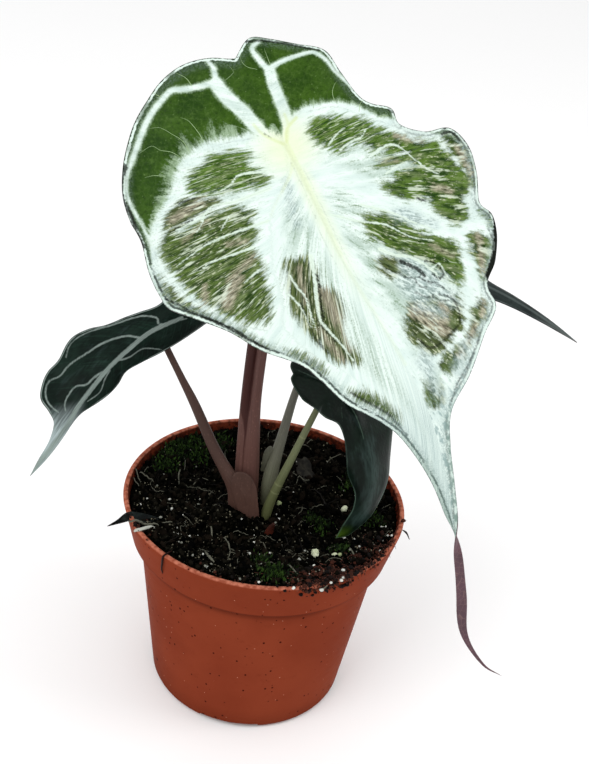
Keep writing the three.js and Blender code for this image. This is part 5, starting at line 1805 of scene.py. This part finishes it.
def potFinish():
    look = Finish("terracotta plastic", Roughness=0.45, Specular_IOR_Level=0.02, IOR=1.2)
    here = look.place()
    height = here.axis(2)
    body = look.blend(look.place(0.03).grain().span(0.3, 0.7), (117, 49, 30), (127, 56, 35))
    dust = look.place(0.25).grain(5.0, 0.7)
    body = body.mix(dust.span(0.55, 0.85, 0, 0.4), (88, 32, 16))
    body = body.mix(height.span(12, 0, 0, 0.3), (80, 30, 16))
    # painted shadow in the step under the collar
    under = height.span(69.5, 73.8, 0, 0.55) * height.span(77.5, 76.7)
    body = body.mix(under, (62, 22, 13))
    # grime inside the band, a painted highlight along the lip, specks of soil and a few pale scratches
    flat = look.put("VectorMath", here.stretch(1.0, 1.0, 0.0), operation="LENGTH", out=1)
    slope, start = 0.223, 38.92  # the collar's radius, as slope * height + start
    sunk = height * -slope + (flat - start)
    grime = sunk.span(-0.9, -1.7) * height.span(84, 88)
    smears = look.place(0.35).grain(4.0, 0.7).span(0.36, 0.6, 0.4, 0.95)
    grime = grime * smears
    body = body.mix(grime, (40, 17, 12))
    # the top of the lip painted lighter: a painted highlight
    lipHighlight = look.place(0.5).grain().span(0.35, 0.65, 0.2, 0.75)
    body = body.mix(height.span(93.7, 94.5) * lipHighlight, (196, 122, 98))
    sparse = look.place(0.2).grain(2.0).span(0.5, 0.56)
    for scale, size in ((0.32, 0.17), (0.11, 0.095)):
        specks = here.stretch(scale, scale, 0.8 * scale).cells().span(size, 0.7 * size)
        body = body.mix(specks * sparse, (56, 18, 11))
    pale = here.stretch(0.2, 0.2, 0.26).cells().span(0.055, 0.03)
    body = body.mix(pale, (196, 140, 116))
    look.colour(body)
    scratches = here.stretch(0.2, 0.2, 2.5).grain(2.0)
    look.roughness(scratches.span(0.3, 0.7, 0.36, 0.5))
    look.bump(look.place(2.2).grain(2.0) + scratches, 0.12, 0.12)
    return look.material


def soilFinish():
    look = Finish("potting mix", Roughness=0.8, Specular_IOR_Level=0.01)
    fine = look.place(1.4).grain(4.0, 0.65)
    coarse = look.place(0.25).grain()
    colour = look.blend(fine.span(0.45, 0.8), (2, 2, 1), (24, 21, 15))
    colour = colour.mix(coarse.span(0.55, 0.75, 0, 0.5), (8, 11, 5))
    look.colour(colour)
    look.bump(fine, 0.8, 0.8)
    return look.material


def grainFinish(name, dark, light, rough=0.8, shine=0.1, spots=None):
    look = Finish(name, Roughness=rough, Specular_IOR_Level=shine)
    fine = look.place(1.6).grain()
    colour = look.blend(look.kept("tint").span(0.25, 1.0), dark, light)
    colour = colour.mix(fine.span(0.4, 0.7, 0, 0.5), spots or dark)
    look.colour(colour)
    look.bump(fine, 0.5, 0.3)
    return look.material


def stalkFinish(name, low, high, span, rings=0.0):
    # low and high are colours at the foot and at the top
    look = Finish(name, Roughness=0.5, Specular_IOR_Level=0.14)
    climb, around = look.kept("climb"), look.kept("around")
    across = look.put("CombineXYZ", around * 0.12, climb * 0.03)
    streaks = across.grain(3.0, 0.6)
    body = look.blend(climb.span(*span), low, high)
    body = body.mix(streaks.span(0.45, 0.72, 0, 0.4), shade(low, 0.45))
    freckles = look.place().stretch(0.9, 0.9, 0.45).cells().span(0.3, 0.12, 0, 0.3)
    body = body.mix(freckles, shade(low, 1.7))
    if rings:
        bands = look.put("CombineXYZ", climb).grain(1.0, scale=0.55)
        body = body.mix(bands.span(0.6, 0.66, 0, rings), (150, 152, 112))
    # the channel: its own dark maroon, with painted shade in the groove
    inside = look.kept("channel") + (streaks * 16.0 - 8.0)
    body = body.mix(inside.span(-5, 5, 0, 0.92), (58, 30, 27))
    look.colour(body)
    look.bump(streaks, 0.3, 0.3)
    return look.material


def fineVeinFinish(name, dim, bright):
    look = Finish(name.replace("_", " "), Roughness=0.5, Specular_IOR_Level=0.1)
    tone = look.place(0.5).grain(2.0)
    look.colour(look.blend(tone, dim, bright))
    look.bump(tone, 0.2, 0.1)
    return look.material


# Making everything

print("camera, floor and light")
addCamera()
addStudio()
strands, scatter = strandTree(), scatterTree()


def keep(piece, slot, node=None):
    if node:
        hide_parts(node)
    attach(piece, "root")


print("pot")
keep(makePot(potFinish()), "pot_plastic", "pot")

print("potting mix")
keep(makeSoil(soilFinish()), "potting_mix", "soil")

print("corm")
cormLook = Finish("corm skin", Roughness=0.8)
cormRings = cormLook.place().stretch(0.15, 0.15, 1.2).grain()
cormLook.colour(cormLook.blend(cormRings, (58, 40, 28), (112, 84, 58)))
cormLook.bump(cormRings, 0.6, 0.5)
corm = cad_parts["corm"]
corm.data.materials.clear()
corm.data.materials.append(cormLook.material)

print("blades")


# (height, reach) of the swelling between the veins, of the midrib on top, and of the veins and the
# midrib underneath
mainRelief = {"puff": (0.9, 6), "ridge": (0.55, 1.1), "vein": (0.9, 1.3), "midrib": (1.3, 1.7)}
smallRelief = {"puff": (0.35, 3), "veinReach": 0.9}


def hump(distance, reach):
    return np.exp(-(distance / reach) ** 2)


def addMainBlade():
    grid = bladeGrid(mainBlade)
    fields = markMainBlade(grid)
    near, along = fields["nearVein"], grid["plan"][..., 0]
    across = grid["plan"][..., 1]
    height, reach = mainRelief["puff"]
    puff = height * (1 - hump(near, reach)) * smooth(fields["rim"] / reach)
    height, reach = mainRelief["ridge"]
    ridge = height * hump(across, reach) * smooth((130 - along) / 60) * smooth((along + 6) / 6)
    height, reach = mainRelief["vein"]
    ribs = height * hump(near, reach)
    height, reach = mainRelief["midrib"]
    ribs = ribs + height * hump(across, reach) * smooth((along + 8) / 8)
    ribs = ribs * smooth(fields["rim"] / 4) * smooth((150 - along) / 60)
    piece = makeBlade("frosted_blade", mainBlade, grid, puff, ridge, ribs, fields,
                      [mainBladeFinish(),
                       underFinish("frosted leaf, under face", (84, 50, 62), (150, 120, 110))])
    keep(piece, "frosted_leaf", "main_blade")
    find = onBlade(grid)
    for name, veins, tones in (
            ("fine_veins", fineVeins, ((120, 148, 96), (172, 196, 152))),
            ("white_veins", whiteVeins, ((190, 208, 192), (214, 228, 216)))):
        paths = []
        for half, points in veins:
            path = finePath(points, 8)
            share = np.linspace(0, 1, len(path))
            width = 0.5 * half * (1 - 0.85 * share ** 1.5) * (0.6 + 0.4 * smooth(share / 0.2))
            placed = [find(p) for p in path]
            paths.append(([p - n * 0.5 * w for (p, n), w in zip(placed, width)], width))
        keep(grown(name, strandBase(paths), strands,
                   {"Material": fineVeinFinish(name, *tones), "Sides": 8, "Thickness": 1.0}),
             "frosted_leaf")
    return grid


def addSmallBlade(side, shape, veins, look, rib):
    grid = bladeGrid(shape)
    fields = markSmallBlade(grid, veins, look.get("sheen", []))
    height, reach = smallRelief["puff"]
    puff = height * (1 - hump(fields["nearVein"], reach)) * smooth(fields["rim"] / reach)
    ribs = rib * hump(fields["nearVein"], smallRelief["veinReach"]) * smooth(fields["rim"] / 2)
    under = underFinish(look["name"] + ", under face", (52, 36, 46), (104, 92, 92))
    piece = makeBlade(side + "_dark_blade", shape, grid, puff, np.zeros_like(puff), ribs, fields,
                      [darkLeafFinish(look), under])
    keep(piece, "dark_leaf", side + "_blade")
    return grid


grids = {"main_blade": addMainBlade()}
smallBlades = (("left", leftBlade, leftVeins, 0.5), ("front", frontBlade, frontVeins, 0.4),
               ("rear", rearBlade, rearVeins, 0.4))
for side, shape, veins, rib in smallBlades:
    grids[side + "_blade"] = addSmallBlade(side, shape, veins, darkLooks[side], rib)

print("stalks")
stalkLooks = {
    # the main stalk darkens towards its top: painted shade under the large blade
    "main_stalk": stalkFinish("maroon stalk", (98, 68, 61), (88, 61, 56), (90, 165)),
    "left_stalk": stalkFinish("brown stalk", (84, 60, 52), (68, 50, 44), (94, 120)),
    "front_stalk": stalkFinish("yellow-green stalk", (88, 92, 58), (108, 114, 84), (86, 130), rings=0.3),
    "rear_stalk": stalkFinish("grey stalk", (104, 106, 84), (108, 108, 98), (90, 130)),
    "old_leaf_foot": stalkFinish("withered sheath", (72, 30, 20), (44, 20, 14), (88, 94)),
}

for name, stalk in stalks.items():
    form = grids[stalk["blade"]]["form"] if stalk["blade"] else None
    rings, away = stalkSurface(stalk, form)
    points, faces = loftRings(rings)
    piece = addPiece(name + "_skin", points, faces, [stalkLooks[name]], ringFields(rings, away, stalk))
    keep(piece, "withered_sheath" if name == "old_leaf_foot" else "leaf_stalk", name)

for name, flap in sheathFlaps.items():
    points, faces = flake(flap["outline"], flap["thickness"], flap["bulge"])
    fields = {"climb": points[:, 2], "around": points[:, 0] * 6, "channel": np.full(len(points), -60.0)}
    keep(addPiece(name, points, faces, [stalkLooks[flap["stalk"]]], fields), "leaf_stalk")

print("crumbs, perlite and moss")


def bareRound(x, y):
    cover = np.ones(len(x))
    for a, b, radius in stalkFeet:
        cover *= smooth((np.hypot(x - a, y - b) - radius) / 1.2)
    return cover


def frontCover(x, y):
    return bareRound(x, y) * (0.25 + 0.75 * smooth((20 - y) / 50))


def mossCover(x, y):
    cover = np.zeros(len(x))
    for a, b, radius in mossPlaces:
        cover = np.maximum(cover, np.exp(-(np.hypot(x - a, y - b) / radius) ** 2))
    return cover * bareRound(x, y)


litter = [
    {"name": "bark_crumbs", "grain": ("lump", 0.7, 0.35, 1), "density": 0.5, "size": (0.9, 2.8),
     "lift": 0.2, "cover": bareRound, "seed": 3,
     "finish": grainFinish("bark crumbs", (2, 2, 1), (22, 20, 15), 0.7, 0.01)},
    {"name": "bark_chips", "grain": ("lump", 0.45, 0.45, 2), "density": 0.055, "size": (2.6, 5.6),
     "lift": 0.7, "cover": bareRound, "seed": 8,
     "finish": grainFinish("bark chips", (2, 2, 2), (24, 19, 14), 0.7, 0.01)},
    {"name": "fine_crumbs", "grain": ("lump", 0.8, 0.3, 4), "density": 0.5, "size": (0.35, 1.0),
     "lift": 0.5, "cover": frontCover, "seed": 12,
     "finish": grainFinish("fine crumbs", (8, 7, 5), (120, 116, 98), 0.8, 0.03)},
    {"name": "perlite", "grain": ("lump", 0.8, 0.25, 5), "density": 0.009, "size": (0.6, 1.5),
     "lift": 1.0, "cover": frontCover, "seed": 17,
     "finish": grainFinish("perlite", (120, 122, 112), (214, 216, 208), 0.7)},
    {"name": "moss", "grain": ("leaf", 1, 0, 1), "density": 3.6, "size": (1.3, 3.0), "upright": 1.0,
     "lift": 0.3, "cover": mossCover, "seed": 21,
     "finish": grainFinish("moss", (10, 22, 6), (48, 72, 24))},
]

for item in litter:
    kind, flat, lump, seed = item["grain"]
    grain = grainShape(item["name"] + " grain", kind, flat, lump, seed)
    scene.collection.objects.link(grain)
    piece = grown(item["name"], soilPatch(item["cover"]), scatter, {
        "Material": item["finish"], "Grain": grain, "Density": item["density"] / mm ** 2,
        "Smallest": item["size"][0] * mm, "Largest": item["size"][1] * mm, "Lift": item["lift"] * mm,
        "Upright": item.get("upright", 0.0), "Seed": item["seed"]})
    bpy.data.objects.remove(grain)
    keep(piece, "potting_mix")
    print(" ", item["name"], len(piece.data.polygons), "faces")

print("placed grains, spilled crumbs, roots and scraps")
keep(lumps("perlite_grains", perliteGrains, 0.75, 31,
           grainFinish("perlite grains", (196, 198, 190), (222, 224, 216), 0.7)), "potting_mix")
keep(lumps("pellets", pellets, 0.8, 32, grainFinish("pellets", (150, 162, 118), (212, 216, 190), 0.6)),
     "potting_mix")
keep(lumps("spilled_crumbs", spilled(), 0.75, 33, grainFinish("spilled crumbs", (12, 8, 7), (64, 31, 20))),
     "potting_mix")
for name, look, paths in rootSets():
    keep(grown(name, strandBase(paths), strands, {"Material": look, "Sides": 6, "Thickness": 1.0}),
         "potting_mix")
for name, scrap in scraps.items():
    points, faces = flake(scrap["outline"], scrap["thickness"], scrap["bulge"])
    look = grainFinish(name.replace("_", " "), scrap["dark"], scrap["light"], 0.7)
    keep(addPiece(name, points, faces, [look], {"tint": noiseAt(points, 0.5)}), "potting_mix")

print("done")
